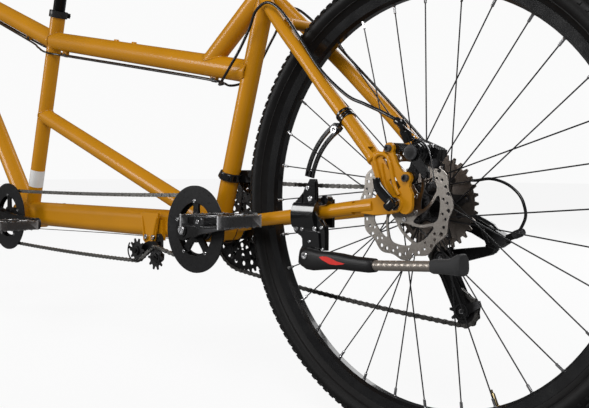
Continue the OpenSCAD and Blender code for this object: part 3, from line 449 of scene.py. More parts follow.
def smooth_path(points, steps):
    """A Catmull-Rom curve through points."""
    pts = [Vector(p) for p in points]
    out = []
    for i in range(len(pts) - 1):
        a, b = pts[max(i - 1, 0)], pts[i]
        c, d = pts[i + 1], pts[min(i + 2, len(pts) - 1)]
        for k in range(steps):
            t = k / steps
            out.append(0.5 * (2 * b + (c - a) * t + (2 * a - 5 * b + 4 * c - d) * t * t
                              + (3 * b - a - 3 * c + d) * t ** 3))
    out.append(pts[-1])
    return out


def polar(r, degrees, centre=(0, 0)):
    """A point (x, z) at radius r and an angle about centre."""
    a = math.radians(degrees)
    return centre[0] + r * math.cos(a), centre[1] + r * math.sin(a)


def signed_power(value, power):
    """The value's size to a power, with its sign kept."""
    return math.copysign(abs(value) ** power, value)


# ---------------------------------------------------------------- tyres
# outer side of the casing, as (radius, y) from a bead to the crown
CASING = [(314, 11.5), (320, 13.5), (326, 20), (333, 24.6), (340, 25.6), (346, 23.5),
          (351, 18.5), (354.2, 11), (355.2, 4)]
# one row of tread blocks: (y, radius, width across, length round, height, turn, lead, tilt)
LUGS = [(0.0, 355.3, 8.0, 8.5, 2.6, 0, 0.0, 0.0), (9.5, 354.2, 6.6, 7.5, 2.6, 16, 0.5, 0.16),
        (-9.5, 354.2, 6.6, 7.5, 2.6, -16, 0.5, -0.16), (17.6, 350.6, 6.0, 8.4, 2.8, 4, 0.05, 0.62),
        (-17.6, 350.6, 6.0, 8.4, 2.8, -4, 0.05, -0.62),
        (23.6, 344.6, 4.4, 5.2, 2.0, 0, 0.5, 1.1), (-23.6, 344.6, 4.4, 5.2, 2.0, 0, 0.5, -1.1)]
LUG_ROWS = 150


def make_tyre(name, x, body):
    outer = CASING + [(r, -y) for r, y in reversed(CASING)]
    inner = [(r - 3.0, y * 0.86) for r, y in reversed(outer)]
    g = Geo(lathe(outer + inner, (x, 0, 0), LEFT, 144, closed=True))
    # a thin moulded line low on each sidewall
    for s in (-1, 1):
        g.add(lathe([(324.4, s * 18.0), (325.6, s * 20.8), (327.0, s * 20.4)],
                    (x, 0, 0), LEFT, 144, closed=True))
    rng = random.Random(11)
    across = Vector(LEFT)
    for k in range(LUG_ROWS):
        for y, r, w, l, h, turn, lead, tilt in LUGS:
            a = 2 * math.pi * (k + lead) / LUG_ROWS
            radial = Vector((math.cos(a), 0, math.sin(a)))
            out = radial * math.cos(tilt) + across * math.sin(tilt)
            side = across * math.cos(tilt) - radial * math.sin(tilt)
            along = out.cross(side)
            q = math.radians(turn)
            s2 = side * math.cos(q) + along * math.sin(q)
            r2 = along * math.cos(q) - side * math.sin(q)
            c = Vector((x, 0, 0)) + radial * r + across * y
            top = 0.82 + 0.04 * rng.random()
            v = [c + s2 * (i * w / 2 * e) + r2 * (j * l / 2 * e) + out * rise
                 for e, rise in ((1.0, -1.2), (top, h * 0.95))
                 for i, j in ((-1, -1), (1, -1), (1, 1), (-1, 1))]
            g.add((v, [(4, 5, 6, 7), (0, 1, 5, 4), (1, 2, 6, 5), (2, 3, 7, 6), (3, 0, 4, 7)]))
    g.piece(name + "_cover", "tyre", body, replaces=[name])


make_tyre("rear_tyre", 0.0, "rear_wheel")
make_tyre("front_tyre", WHEELBASE, "front_wheel")


# ---------------------------------------------------------------- chains
PITCH = 12.7
DRIVE_Y, TIMING_Y = -59.0, 53.0


def pitch_r(teeth):
    return PITCH / (2 * math.sin(math.pi / teeth))


def belt(pulleys, sags):
    """Closed path round pulleys of (x, z, radius, turn); sags hang below the free spans."""
    n = len(pulleys)

    def leave(a, b):
        dx, dz = b[0] - a[0], b[1] - a[1]
        k = b[3] * b[2] - a[3] * a[2]
        return math.atan2(dz, dx) - math.asin(k / math.hypot(dx, dz))

    def touch(c, q):
        return c[0] + c[3] * c[2] * math.sin(q), c[1] - c[3] * c[2] * math.cos(q)

    pts = []
    for i in range(n):
        c, after = pulleys[i], pulleys[(i + 1) % n]
        a, b = leave(pulleys[i - 1], c), leave(c, after)
        turn = (c[3] * (b - a)) % (2 * math.pi)
        m = max(2, int(turn / math.radians(4)))
        pts += [touch(c, a + c[3] * turn * k / m) for k in range(m + 1)]
        p, q = pts[-1], touch(after, b)
        for k in range(1, 24):
            t = k / 24
            pts.append((p[0] + (q[0] - p[0]) * t,
                        p[1] + (q[1] - p[1]) * t - sags[i] * 4 * t * (1 - t)))
    return pts


def link_outline(waist, r):
    """A figure-of-eight link plate's outline, along +x for one pitch."""
    out = [polar(r, 110 + 140 * k / 8) for k in range(9)]
    out.append((PITCH / 2, -waist))
    out += [polar(r, -70 + 140 * k / 8, (PITCH, 0)) for k in range(9)]
    out.append((PITCH / 2, waist))
    return out


def make_chain(name, path, y, look):
    """Inner and outer links in turn, with a pin and a roller at each joint."""
    pts = np.array(path + [path[0]])
    seg = np.hypot(*(pts[1:] - pts[:-1]).T)
    s = np.concatenate([[0], np.cumsum(seg)])
    count = int(round(s[-1] / PITCH / 2)) * 2
    g = Geo()
    pins = [(float(np.interp(k * s[-1] / count, s, pts[:, 0])),
             float(np.interp(k * s[-1] / count, s, pts[:, 1]))) for k in range(count)]
    # (outline, inner face, outer face) of the outer and the inner links
    links = ((link_outline(2.5, 3.9), 2.2, 3.05), (link_outline(2.7, 4.1), 1.25, 2.1))
    for k in range(count):
        (x0, z0), (x1, z1) = pins[k], pins[(k + 1) % count]
        d = math.hypot(x1 - x0, z1 - z0)
        c, w = (x1 - x0) / d, (z1 - z0) / d
        stretch = d / PITCH
        shape, a, b = links[k % 2]
        flat = [(x0 + px * stretch * c - pz * w, z0 + px * stretch * w + pz * c)
                for px, pz in shape]
        g.add(*[plate(flat, y + e * a, y + e * b) for e in (-1, 1)],
              lathe([(0, -3.3), (1.7, -3.3), (1.7, 3.3), (0, 3.3)], (x0, y, z0), LEFT, 8),
              lathe([(3.4, -1.2), (3.4, 1.2)], (x0, y, z0), LEFT, 10))
    g.piece(name + "_links", look, "frame", replaces=[name], sharp=30)


REAR_BB, FRONT_BB = (452, -60), (1146, -66)
UPPER_JOCKEY, LOWER_JOCKEY = (8, -86), (-30, -161)
DRIVE = [(*REAR_BB, pitch_r(42), 1), (0, 0, pitch_r(11), 1), (*UPPER_JOCKEY, pitch_r(11), -1),
         (*LOWER_JOCKEY, pitch_r(11), 1)]
TIMING = [(*FRONT_BB, pitch_r(30), 1), (*REAR_BB, pitch_r(30), 1), (577, -121, pitch_r(10), -1),
          (637, -111, pitch_r(10), 1)]
make_chain("drive_chain", belt(DRIVE, (4, 0, 0, 5)), DRIVE_Y, "drive")
make_chain("timing_chain", belt(TIMING, (3, 1, 0, 3)), TIMING_Y, "chain")


# ---------------------------------------------------------------- weld beads
def on_seat(bb, angle, s):
    """A point s along the seat tube that leans back at angle from bb."""
    x, z = polar(s, angle)
    return bb[0] - x, 0, bb[1] + z


def weld(g, p, q, r, p2, q2, r2, bead=2.1, n=90):
    """A bead where the tube p-q (radius r) runs into the side of the tube p2-q2 (radius r2)."""
    p, q, p2, q2 = Vector(p), Vector(q), Vector(p2), Vector(q2)
    a, b, t = basis(q - p)
    axis = (q2 - p2).normalized()
    h = t - t.dot(axis) * axis
    loop = []
    for k in range(n):
        w = 2 * math.pi * k / n
        start = p + r * (math.cos(w) * a + math.sin(w) * b)
        d = start - p2
        e = d - d.dot(axis) * axis
        qa, qb, qc = h.dot(h), 2 * e.dot(h), e.dot(e) - r2 * r2
        root = math.sqrt(max(qb * qb - 4 * qa * qc, 0.0))
        loop.append(start + t * ((-qb - root) / (2 * qa)))
    rng = random.Random(len(g.v))
    rs = [bead * (1 + 0.12 * math.sin(k * 1.9) + 0.05 * rng.random()) for k in range(n)]
    g.add(tube(loop, rs, 8, closed=True))


FOOT = (1143, -60)
FOOT_ANGLE, REAR_ANGLE = 74.7, 73.7
TOP_FRONT, TOP_MID, TOP_REAR = (1572, 0, 551), (1034, 0, 342), (371, 0, 218)
HEAD_HIGH = (1552, 0, 600)
HEAD_LOW = (1552 + 167 * 0.32557, 0, 600 - 167 * 0.94552)
DOWN_TUBE = ((1146, 0, -66), (1584, 0, 476))
DIAGONAL = ((452, 0, -60), (1081, 0, 173))
BRACE = ((488, 0, 238), (331, 0, 359))
REAR_SEAT = (on_seat(REAR_BB, REAR_ANGLE, 20), on_seat(REAR_BB, REAR_ANGLE, 480))
FRONT_SEAT = (on_seat(FOOT, FOOT_ANGLE, 20), on_seat(FOOT, FOOT_ANGLE, 462))
REAR_SHELL = ((452, -36.5, -60), (452, 36.5, -60))
FRONT_SHELL = ((1146, -36.5, -66), (1146, 36.5, -66))
SEAT_R, REAR_SHELL_R, FRONT_SHELL_R, HEAD_R = 16.5, 24, 30, 22


def make_welds():
    g = Geo()
    weld(g, TOP_MID, TOP_FRONT, 20.5, HEAD_LOW, HEAD_HIGH, HEAD_R)
    weld(g, *DOWN_TUBE, 21, HEAD_LOW, HEAD_HIGH, HEAD_R)
    weld(g, *DOWN_TUBE[::-1], 21, *FRONT_SHELL, FRONT_SHELL_R)
    weld(g, TOP_MID, TOP_REAR, 20.1, *REAR_SEAT, SEAT_R)
    weld(g, TOP_REAR, TOP_MID, 20.1, *FRONT_SEAT, SEAT_R)
    weld(g, TOP_FRONT, TOP_MID, 20.5, *FRONT_SEAT, SEAT_R)
    weld(g, *DIAGONAL, 17.5, *FRONT_SEAT, SEAT_R)
    weld(g, *DIAGONAL[::-1], 17.5, *REAR_SHELL, REAR_SHELL_R)
    weld(g, *BRACE, 18, *REAR_SEAT, SEAT_R)
    weld(g, *BRACE[::-1], 18, TOP_REAR, TOP_MID, 20.1)
    weld(g, *REAR_SEAT[::-1], SEAT_R, *REAR_SHELL, REAR_SHELL_R)
    weld(g, *FRONT_SEAT[::-1], SEAT_R, *FRONT_SHELL, FRONT_SHELL_R)
    for s in (-1, 1):
        weld(g, (300, s * 46, -37), (410, s * 29, -53), 10.5, *REAR_SHELL, REAR_SHELL_R)
        weld(g, (250, 0, 284), (250, s * 36, 284), 9, (251, s * 36, 268), (300, s * 24, 316), 11,
             bead=1.6, n=48)
    g.piece("weld_beads", "weld", "frame", sharp=60)


make_welds()


# ---------------------------------------------------------------- wheels
def make_nipples(name, x, left_y, right_y, body):
    """Thirty-two spoke nipples, crossed three times, in the same places as the CAD's spokes."""
    g = Geo()
    gap = 360 / 16
    for s, flange in ((0, left_y), (1, right_y)):
        for k in range(16):
            lean = 1 if k % 2 == 0 else -1
            hole = math.radians(k * gap + s * gap / 2 - 0.9)
            at_rim = hole + math.radians(lean * 3 * gap)
            hub = Vector((x + 24 * math.cos(hole), flange + lean * 2.6, 24 * math.sin(hole)))
            rim = Vector((x + 301.5 * math.cos(at_rim), 2 if s == 0 else -2,
                          301.5 * math.sin(at_rim)))
            g.add(lathe([(0, -1), (2.9, -1), (2.9, 3.4), (2.15, 4.4), (2.15, 14.2), (1.5, 15),
                         (0, 15)], rim, hub - rim, 10))
    g.piece(name, "steel", body)


def make_valve(name, x, angle, body):
    px, pz = polar(300, angle)
    Geo(lathe([(0, -3), (4.2, -3), (4.2, 1.5), (3.0, 2.2), (3.0, 18), (2.6, 19), (1.7, 19.5),
               (1.7, 24), (0, 24.4)], (x + px, 0, pz), (-px, 0, -pz), 14)
        ).piece(name, "brass", body)


make_nipples("rear_nipples", 0.0, 33, -20, "rear_wheel")
make_nipples("front_nipples", WHEELBASE, 22, -33, "front_wheel")
make_valve("rear_valve", 0.0, -113.6, "rear_wheel")
make_valve("front_valve", WHEELBASE, 100, "front_wheel")


# ---------------------------------------------------------------- saddles
# half of the saddle's plan and crown, as (x, half width, top, drop of the edge)
SADDLE = [(-137, 40, 50, 8), (-132, 60, 56, 16), (-118, 71, 59, 24), (-98, 74.5, 59, 27),
          (-70, 70, 57, 27), (-40, 55, 54.5, 25), (-10, 38, 53, 24), (25, 28, 52.5, 23),
          (60, 23, 53, 22), (95, 21, 54, 21), (122, 18.5, 54.5, 19), (138, 13, 53, 15),
          (144, 7, 50, 9)]


def saddle_top(row, u):
    """(half width, height) of the crowned top at u, from 0 in the middle to 1 at the edge."""
    x, w, top, drop = row
    return w * min(1.0, u * 1.12) ** 0.92, top - drop * u ** 4.2 + 2.0 * (1 - u * u)


def make_saddle(name, bb, angle, length, body):
    """A crowned cover on a hard shell, wide at the back with a long nose."""
    x0, _, z0 = on_seat(bb, angle, length - 52)
    n = 22
    rings = []
    for row in SADDLE:
        x, w, top, drop = row
        ring = []
        for k in range(n + 1):
            u = -1 + 2 * k / n
            y, z = saddle_top(row, abs(u))
            groove = 3.2 * math.exp(-(u / 0.16) ** 2) if -100 < x < 110 else 0.0
            ring.append((x0 + x, math.copysign(y, u) if u else 0.0, z0 + z - groove))
        for k in range(n + 1):
            u = 1 - 2 * k / n
            ring.append((x0 + x * 0.985, w * 0.93 * u,
                         z0 + top - drop - 3.5 - 1.5 * (1 - u * u)))
        rings.append(ring)
    cover = Geo(loft(rings)).piece(name + "_cover", "leather", body,
                                   replaces=[name], sharp=70, subdivide=1)
    # stitched seam along each side of the top
    s = Geo()
    for e in (-1, 1):
        path = []
        for row in SADDLE[2:-1]:
            y, z = saddle_top(row, 0.72)
            path.append((x0 + row[0], e * y, z0 + z + 0.1))
        fine = smooth_path(path, 14)
        s.add(*[tube([fine[i], fine[i + 1]], 0.45, 5) for i in range(0, len(fine) - 1, 2)])
    s.piece(name + "_stitches", "rubber", body)
    rings = []
    for x, w, top, drop in SADDLE:
        x, w, z = x0 + x * 0.97, w * 0.86, z0 + top - drop - 4
        rings.append([(x, w * u, z - 2.5 * (1 - u * u)) for u in (-1, -0.5, 0, 0.5, 1)]
                     + [(x, w * u * 0.96, z - 3.2 - 2.5 * (1 - u * u))
                        for u in (1, 0.5, 0, -0.5, -1)])
    Geo(loft(rings)).piece(name + "_shell", "plastic", body)


make_saddle("front_saddle", FOOT, FOOT_ANGLE, 700, "front_seatpost")
make_saddle("rear_saddle", REAR_BB, REAR_ANGLE, 690, "rear_seatpost")


# ---------------------------------------------------------------- grips
def make_grips(name, end, bend, l, body):
    """Ribbed grips with a flange at each end, from a bar's end towards its bend."""
    prof = [(0, -3.9), (13.5, -3.9), (15, -3.0), (17.6, -1.5), (17.8, 2.0), (16.0, 3.2)]
    z = 5.0
    while z < l - 8:
        prof += [(14.2, z), (15.3, z + 0.8), (15.3, z + 2.6), (14.2, z + 3.4)]
        z += 4.6
    prof += [(15.0, l - 5), (17.3, l - 4), (17.3, l - 0.8), (16.4, l), (11.3, l)]
    g = Geo()
    for s in (1, -1):
        p, q = Vector((end[0], s * end[1], end[2])), Vector((bend[0], s * bend[1], bend[2]))
        g.add(lathe(prof, p, q - p, 40))
    g.piece(name + "_ribbed", "rubber", body, replaces=[name], sharp=28)


make_grips("handlebar_grips", (1586, 350, 680), (1618, 140, 676), 130, "steering")
make_grips("stoker_grips", (760, 245, 496), (870, 190, 500), 100, "front_seatpost")


# ---------------------------------------------------------------- cables
BRAKE_BAR = [(1650, -190, 668), (1712, -150, 640), (1700, -70, 560), (1610, -38, 534)]
BRAKE_FRAME = [(1480, -10, 486), (1150, -6, 358), (1085, -14, 332), (1040, -21.5, 316),
               (985, -7, 304), (700, -6, 253), (468, -4, 210), (440, 14, 200), (412, 28, 209),
               (388, 32, 229), (366, 33, 252), (341, 33, 286), (320, 38, 312), (288, 42, 321),
               (255, 43, 302), (209, 48, 254), (157, 56, 199), (98, 66, 157), (58, 72, 141),
               (20, 79, 127), (-8, 80, 114)]
GEAR_BAR = [(1640, 170, 654), (1706, 130, 622), (1690, 60, 548), (1606, 37, 530)]
GEAR_FRAME = [(1478, 10, 485), (1150, 6, 357), (1085, 14, 331), (1040, 21.5, 315), (985, 7, 303),
              (700, 6, 252), (468, 6, 210), (440, -14, 200), (412, -28, 209), (386, -34, 236),
              (352, -35, 280), (310, -36, 326), (250, -46, 286), (170, -62, 206),
              (80, -74, 116), (20, -84, 52), (-20, -84, 33), (-55, -84, 35), (-82, -84, 28),
              (-102, -84, 13), (-111, -84, -5), (-112, -84, -22), (-102, -82, -44)]
FRONT_GEAR = [(1130, -8, -98), (800, -8, -91), (600, -8, -90), (452, -8, -88), (424, -8, -79),
              (413, -10, -50), (411, -14, -10), (412, -22, 21)]
BRAKE_HOUSING_R, GEAR_HOUSING_R, WIRE_R = 2.5, 2.25, 0.8


def make_cables():
    """Housings fixed to the frame, and two loops that follow the handlebar."""
    Geo(tube(smooth_path(BRAKE_BAR[-1:] + BRAKE_FRAME, 8), BRAKE_HOUSING_R, 12),
        tube(smooth_path(GEAR_BAR[-1:] + GEAR_FRAME, 8), GEAR_HOUSING_R, 12),
        tube(smooth_path(FRONT_GEAR, 6), WIRE_R, 8)
        ).piece("frame_cables", "sheath", "frame", replaces=["cables"])
    for name, pts, r in (("brake_hose_loop", BRAKE_BAR, BRAKE_HOUSING_R),
                         ("gear_hose_loop", GEAR_BAR, GEAR_HOUSING_R)):
        o = Geo(tube(smooth_path(pts, 14), r, 12)).piece(name, "sheath", None)
        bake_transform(o)


make_cables()


# ---------------------------------------------------------------- frame details
def make_frame_details():
    g = Geo()
    d = (Vector(TOP_MID) - Vector(TOP_REAR)).normalized()
    up = Vector((-d[2], 0, d[0]))
    for s in (360, 424):
        g.add(lathe([(2.55, 3.4), (4.6, 3.4), (5.2, 2.6), (5.4, 0.6), (6.8, -1.5), (2.55, -1.5)],
                    Vector(TOP_REAR) + s * d + up * 19.6, up, 24, closed=True))
    # tab below the boom that carries the tensioner, with a rib along each edge
    g.add(plate([(592, -38), (598, -70), (603, -94), (610, -99), (632, -99), (640, -92),
                 (644, -60), (646, -38)], 32.4, 36.6),
          *[tube(smooth_path([(x, 36.4, -46), (x1, 37.6, -70), (x2, 37.6, -92)], 5), 2.4, 10)
            for x, x1, x2 in ((596, 603, 608), (643, 638, 634))])
    g.piece("bottle_boss_collars", "paint", "frame")
    bolts("tensioner_screws", "frame", [((x, 36.6, -85), LEFT, 5.2, 4.0) for x in (606, 628)])
    # plain sticker round the front seat tube
    Geo(tube([on_seat(FOOT, FOOT_ANGLE, 68), on_seat(FOOT, FOOT_ANGLE, 108)], 16.75, 48)
        ).piece("plain_seat_tube_band", "label", "frame")
    # cable stops on the lateral tube
    Geo(*[collar(p, (1, 0, 0.2), 3.0, 5.2, 12, 20)
          for p in ((470, 0, 212), (985, 0, 305), (1150, 0, 362))]
        ).piece("cable_stop_sleeves", "black", "frame")


make_frame_details()


# ---------------------------------------------------------------- side stand
def make_stand():
    """The leg: a moulded cover with a red insert, a grooved tube and a flared rubber foot."""
    pivot, root, tip = Vector((148, 84, -81)), Vector((148, 84, -95)), Vector((-136, 104, -73))
    u = (tip - root).normalized()
    side = Vector(LEFT)
    side = (side - side.dot(u) * u).normalized()
    up = side.cross(u)
    centre = 7

    def section(s, h, w, lift, power, n=20):
        """A squarish oval ring at s along the leg, h and w its half height and half width."""
        turns = [2 * math.pi * k / n for k in range(n)]
        return [root + u * s + side * (centre + w * signed_power(math.cos(a), power))
                + up * (lift + h * signed_power(math.sin(a), power)) for a in turns]

    # (s, half height, half width, lift)
    cover = [(-15, 5, 4, 12), (-11, 13, 6.5, 11), (0, 16.5, 8, 9), (14, 16, 8.5, 7),
             (30, 14, 8.6, 6), (50, 13, 9, 6), (72, 11.6, 9.4, 5), (98, 10.4, 9.6, 2),
             (126, 10.2, 9.8, 0), (134, 9.6, 9.4, 0), (136, 8.2, 8.2, 0)]
    Geo(loft([section(*row, 0.62) for row in cover])).piece(
        "stand_leg_cover", "plastic", "kickstand_leg",
        replaces=["kickstand_leg"], sharp=50)
    leaf = [(115.4, -80.7), (109.2, -79.2), (100.1, -78.8), (92.4, -80.4), (79.6, -84.0),
            (62.8, -85.9), (68.3, -87.6), (80, -89.2), (92.3, -89.4), (100, -87.2),
            (109.2, -84.4)]
    Geo(loft([[(x, y + 0.07 * (115 - x), z) for x, z in leaf] for y in (103.4, 97)])).piece(
        "stand_red_insert", "red", "kickstand_leg")
    prof = [(0, 130), (7.0, 130), (7.2, 132)]
    s = 141.0
    while s < 236:
        prof += [(7.2, s), (6.9, s + 0.6), (6.9, s + 1.2), (7.2, s + 1.8)]
        s += 10.5
    prof += [(7.2, 242), (0, 242)]
    Geo(lathe(prof, root + side * centre, u, 28)).piece(
        "stand_tube", "bronze", "kickstand_leg")
    foot = [(236, 8.6, 9.0, 0), (239, 9.6, 10.0, 0), (256, 9.8, 10.4, 0), (266, 10.2, 10.8, 0),
            (272, 12.2, 11.4, 1.2), (277, 13.6, 11.8, 2.0), (282, 14.2, 11.8, 2.2),
            (284, 13.0, 10.6, 2.0)]
    Geo(loft([section(*row, 0.7) for row in foot])).piece(
        "stand_foot", "rubber", "kickstand_leg", sharp=50)
    bolts("stand_leg_bolts", "kickstand_leg", [(pivot + Vector((0, 15.2, 0)), LEFT, 5.6, 2.0),
                                               ((35.3, 100.2, -83.6), LEFT, 3.4, 1.4)])


def make_stand_mount():
    """The clamp on the chain stay, its knee plates, and the slotted brace to the seat stay."""
    # pressed plate from the neck down to the pivot
    p = Geo(plate([(153, 33), (141, 33), (139, 27), (138, 6), (139, -4), (142, -14), (138, -22),
                   (126, -27), (118, -38), (117, -46), (117, -73), (131, -74), (136, -88),
                   (141, -102), (154, -103), (168, -100), (175.6, -95), (175, -86), (172, -75),
                   (167.4, -68), (167, -59), (171, -54), (184, -48), (188, -39), (187.5, -31),
                   (188, -17), (184, -8), (182.6, -2), (173, 6), (166, 13), (162, 22),
                   (156, 28)], 79.6, 83.8))
    # band bulging round the tube
    rings = []
    for i in range(11):
        t = -1 + 2 * i / 10
        z = -22 + 19 * t
        y = 84 + 5.4 * math.sqrt(max(0.0, 1 - t * t * 0.96))
        x0, x1 = 187.6 - 3 * max(0.0, t) ** 2, 139 + 3.2 * (1 - abs(t))
        rings.append([(x0, y, z), (x1, y, z), (x1, 76, z), (x0, 76, z)])
    p.add(loft(rings),
          # raised ribs up the neck, the flange behind the knee and the two knee plates
          plate([(143.4, 30), (140.6, 30), (140.4, 2), (143.4, 2)], 83, 85.6),
          plate([(170, -4), (166.8, -4), (166.8, 10), (170, 8)], 83, 85.4),
          plate([(131, -27), (120.6, -36), (117.6, -46), (117.4, -72), (122.4, -73),
                 (124, -52), (131, -40)], 83, 88.2),
          plate([(166, -46), (142, -45), (132, -47), (129.6, -72), (150, -68), (165, -66)],
                83, 86.6),
          plate([(166, -66), (150, -68), (136, -72), (139, -84), (143, -98), (155, -101),
                 (168, -98), (173.6, -93), (173, -84), (170, -75)], 83, 84.1),
          # half of the clamp behind the stay, and the posts between the halves
          plate([(140, 2), (140, -42), (188, -42), (188, 0)], 40, 46),
          *[tube([(x, 41, z), (x, 83, z)], 3.4, 16)
            for x, z in ((184, -38), (146, -38), (150, 2))],
          plate([(188, -8), (186, -40), (180, -40), (180, -8)], 46, 80),
          lathe([(0, 0), (6.6, 0), (7.2, 1), (7.2, 12), (6.2, 13), (0, 13.6)], (133, 60, 2),
                LEFT, 24))
    # slotted brace: two long arcs joined at their ends
    for lo, hi, a0, a1 in ((101, 107.2, 12, 61), (111.8, 118, 12, 61), (104, 115, 12, 17),
                           (104, 115, 56, 61)):
        angles = [a0 + (a1 - a0) * i / 14 for i in range(15)]
        p.add(plate([polar(lo, a, (54, 13)) for a in angles]
                    + [polar(hi, a, (54, 13)) for a in angles[::-1]], 73, 77))
    d = Vector((-106, 10, -107)).normalized()
    c = Vector((103, 59.6, 125.5))
    p.add(*[collar(c + s * d, d, 10.2, 13.4 if s else 12.6, 4.4) for s in (-5, 0, 5)],
          block((107, 74, 109), (11, 8, 12), d.to_track_quat("Z", "Y").to_matrix()))
    p.piece("stand_bracket", "gloss", "frame", replaces=["kickstand_mount"],
            sharp=40, bevel=0.7)
    heads = [((x, y, z), LEFT, r, 1.7) for x, z, y, r in
             ((156.7, 19.4, 83.6, 3.6), (151, 3.4, 84, 4.4), (180.4, -42.6, 83.6, 4.6),
              (168, -43.4, 84, 3.0), (139.8, -41.4, 86.2, 3.8), (124, -39, 88, 2.8),
              (149.8, -61.2, 86.4, 2.6), (122, -71, 88, 2.2))]
    bolts("stand_mount_bolts", "frame", heads + [((110, 77.6, 106), LEFT, 6.0, 2.4)])


make_stand()
make_stand_mount()


# ---------------------------------------------------------------- pedals and cranks
FRONT_REST, REAR_REST = 183, 171
CRANK_L, PEDAL_Y = 170, 146


def make_pedal(name, bb, rest, side):
    """A toothed cage round a barrel, with pads, pins, and thin bright steel lines along the edges
    of its openings as painted highlights.
    """
    x, z = polar(CRANK_L, rest if side > 0 else rest + 180, bb)
    c = Vector((x, side * PEDAL_Y, z))

    def at(dx, dy, dz):
        return c + Vector((dx, dy, dz))

    # barrel with end cap
    g = Geo(lathe([(6.3, -46.5), (10.5, -46.5), (11, -44), (9.2, -38), (8.6, 0), (9.2, 34),
                   (10.6, 40), (10.6, 45), (9, 47), (0, 47)], c, (0, side, 0), 28))
    # cage: front and rear plates with teeth, side rails and braces
    outline = [(-45 + 90 * k / 12, 10.4 if k % 2 == 0 else 7.4) for k in range(13)]
    outline += [(y, -z) for y, z in reversed(outline)]
    for e in (-1, 1):
        g.add(loft([[at(e * dx, y, z) for y, z in outline] for dx in (42.6, 45.6)]),
              *[tube(smooth_path([at(-43, y * 0.93, e * 6.2), at(-20, y, e * 7.6),
                                  at(20, y, e * 7.6), at(43, y * 0.93, e * 6.2)], 6), 2.0, 10)
                for y in (-44.5, 44.5)],
              *[block(at(e * 24, y, 0), (38, w, h))
                for y, w, h in ((-14, 3.4, 11), (14, 3.4, 11), (0, 2.6, 8))])
    g.piece(name + "_cage", "pedal", name, replaces=[name], bevel=0.5)
    Geo(*[block(at(e * 40.9, y, 0), (3.2, 15, 10.5)) for e in (-1, 1) for y in (-24, 24)]
        ).piece(name + "_pads", "plastic", name, bevel=0.8)
    s = Geo(bolt(at(0, side * 46.6, 0), (0, side, 0), 3.6, 0.8))
    # painted highlights: thin bright steel tubes along the openings' edges on the top and bottom
    # faces, and along the cage's top and bottom edges
    for up in (-8.9, 8.9):
        for e in (-1, 1):
            for y0, y1 in ((-40, -16), (16, 40)):
                edge = [at(e * dx, dy, up) for dx, dy in
                        ((8, y0), (14, y1), (36, y1), (41, (y0 + y1) / 2), (36, y0), (8, y0))]
                s.add(tube(edge, 0.5, 6))
            rim = up + math.copysign(0.3, up)
            s.add(tube([at(e * 43, -43, rim), at(e * 43, 43, rim)], 0.45, 6))
    for e in (-1, 1):
        s.add(*[lathe([(0, -10.6), (1.4, -10.6), (1.4, 10.6), (0, 10.6)], at(e * 44.1, y, 0),
                      (0, 0, 1), 8) for y in (-30, -15, 0, 15, 30)])
    # one piece: the end cap bolt, the pins and the painted highlight lines
    s.piece(name + "_pins", "steel", name)


def make_crank_bolts(word, bb):
    heads = [((bb[0], e * 90.8, bb[1]), (0, e, 0), 8.0, 2.0) for e in (-1, 1)]
    for k in range(5):
        # (radius, y, side, head radius, head height) of each row of chainring bolts
        rows = [(50.5, 61.4, 1, 3.6, 1.4)]
        if word == "rear":
            rows += [(62, -59.8, -1, 3.8, 1.5), (46, -52.4, -1, 3.8, 1.5)]
        for r, y, e, head, height in rows:
            x, z = polar(r, 72 * k + 18, bb)
            heads.append(((x, y, z), (0, e, 0), head, height))
    bolts(word + "_crank_bolts", word + "_crankset", heads)


for word, bb, rest in (("front", FRONT_BB, FRONT_REST), ("rear", REAR_BB, REAR_REST)):
    for hand, side in (("left", 1), ("right", -1)):
        make_pedal(f"{word}_{hand}_pedal", bb, rest, side)
make_crank_bolts("rear", REAR_BB)
make_crank_bolts("front", FRONT_BB)


# ---------------------------------------------------------------- rear changer's fittings
def make_changer_fittings():
    bolts("derailleur_bolts", "frame", [((-9, -89.8, -28), RIGHT, 6.5, 2.0),
                                        ((8, -85.8, -86), RIGHT, 5.5, 1.6)])
    bolts("jockey_bolts", "derailleur_cage",
          [((x, -50.9, z), LEFT, 4.2, 1.6) for x, z in (UPPER_JOCKEY, LOWER_JOCKEY)])
    Geo(lathe([(3.0, -3), (5.6, -3), (6.2, -1), (6.2, 9), (5.4, 10), (4.4, 14), (3.0, 14)],
              (-99, -82, -45), (-0.9, 0, 0.38), 20, closed=True)
        ).piece("barrel_adjuster", "black", "frame")


make_changer_fittings()


# ---------------------------------------------------------------- softened edges on CAD parts
for n, width in (("rear_crankset", 0.5), ("front_crankset", 0.5), ("front_caliper", 0.8),
                 ("dropouts", 0.6), ("tensioner_arm", 0.5), ("front_derailleur", 0.6),
                 ("lever_clamps", 0.7), ("rear_derailleur", 0.8), ("derailleur_link", 0.6),
                 ("handlebar", 0.8), ("seat_clamps", 0.5), ("rear_brake_arm", 0.5),
                 ("left_brake_lever", 0.8), ("right_brake_lever", 0.8), ("left_shifter", 0.5),
                 ("right_shifter", 0.5), ("front_seatpost", 0.5), ("rear_seatpost", 0.5)):
    NODES[n].modifiers.new("weld", "WELD").merge_threshold = 0.00002
    soften(NODES[n], width, 40)


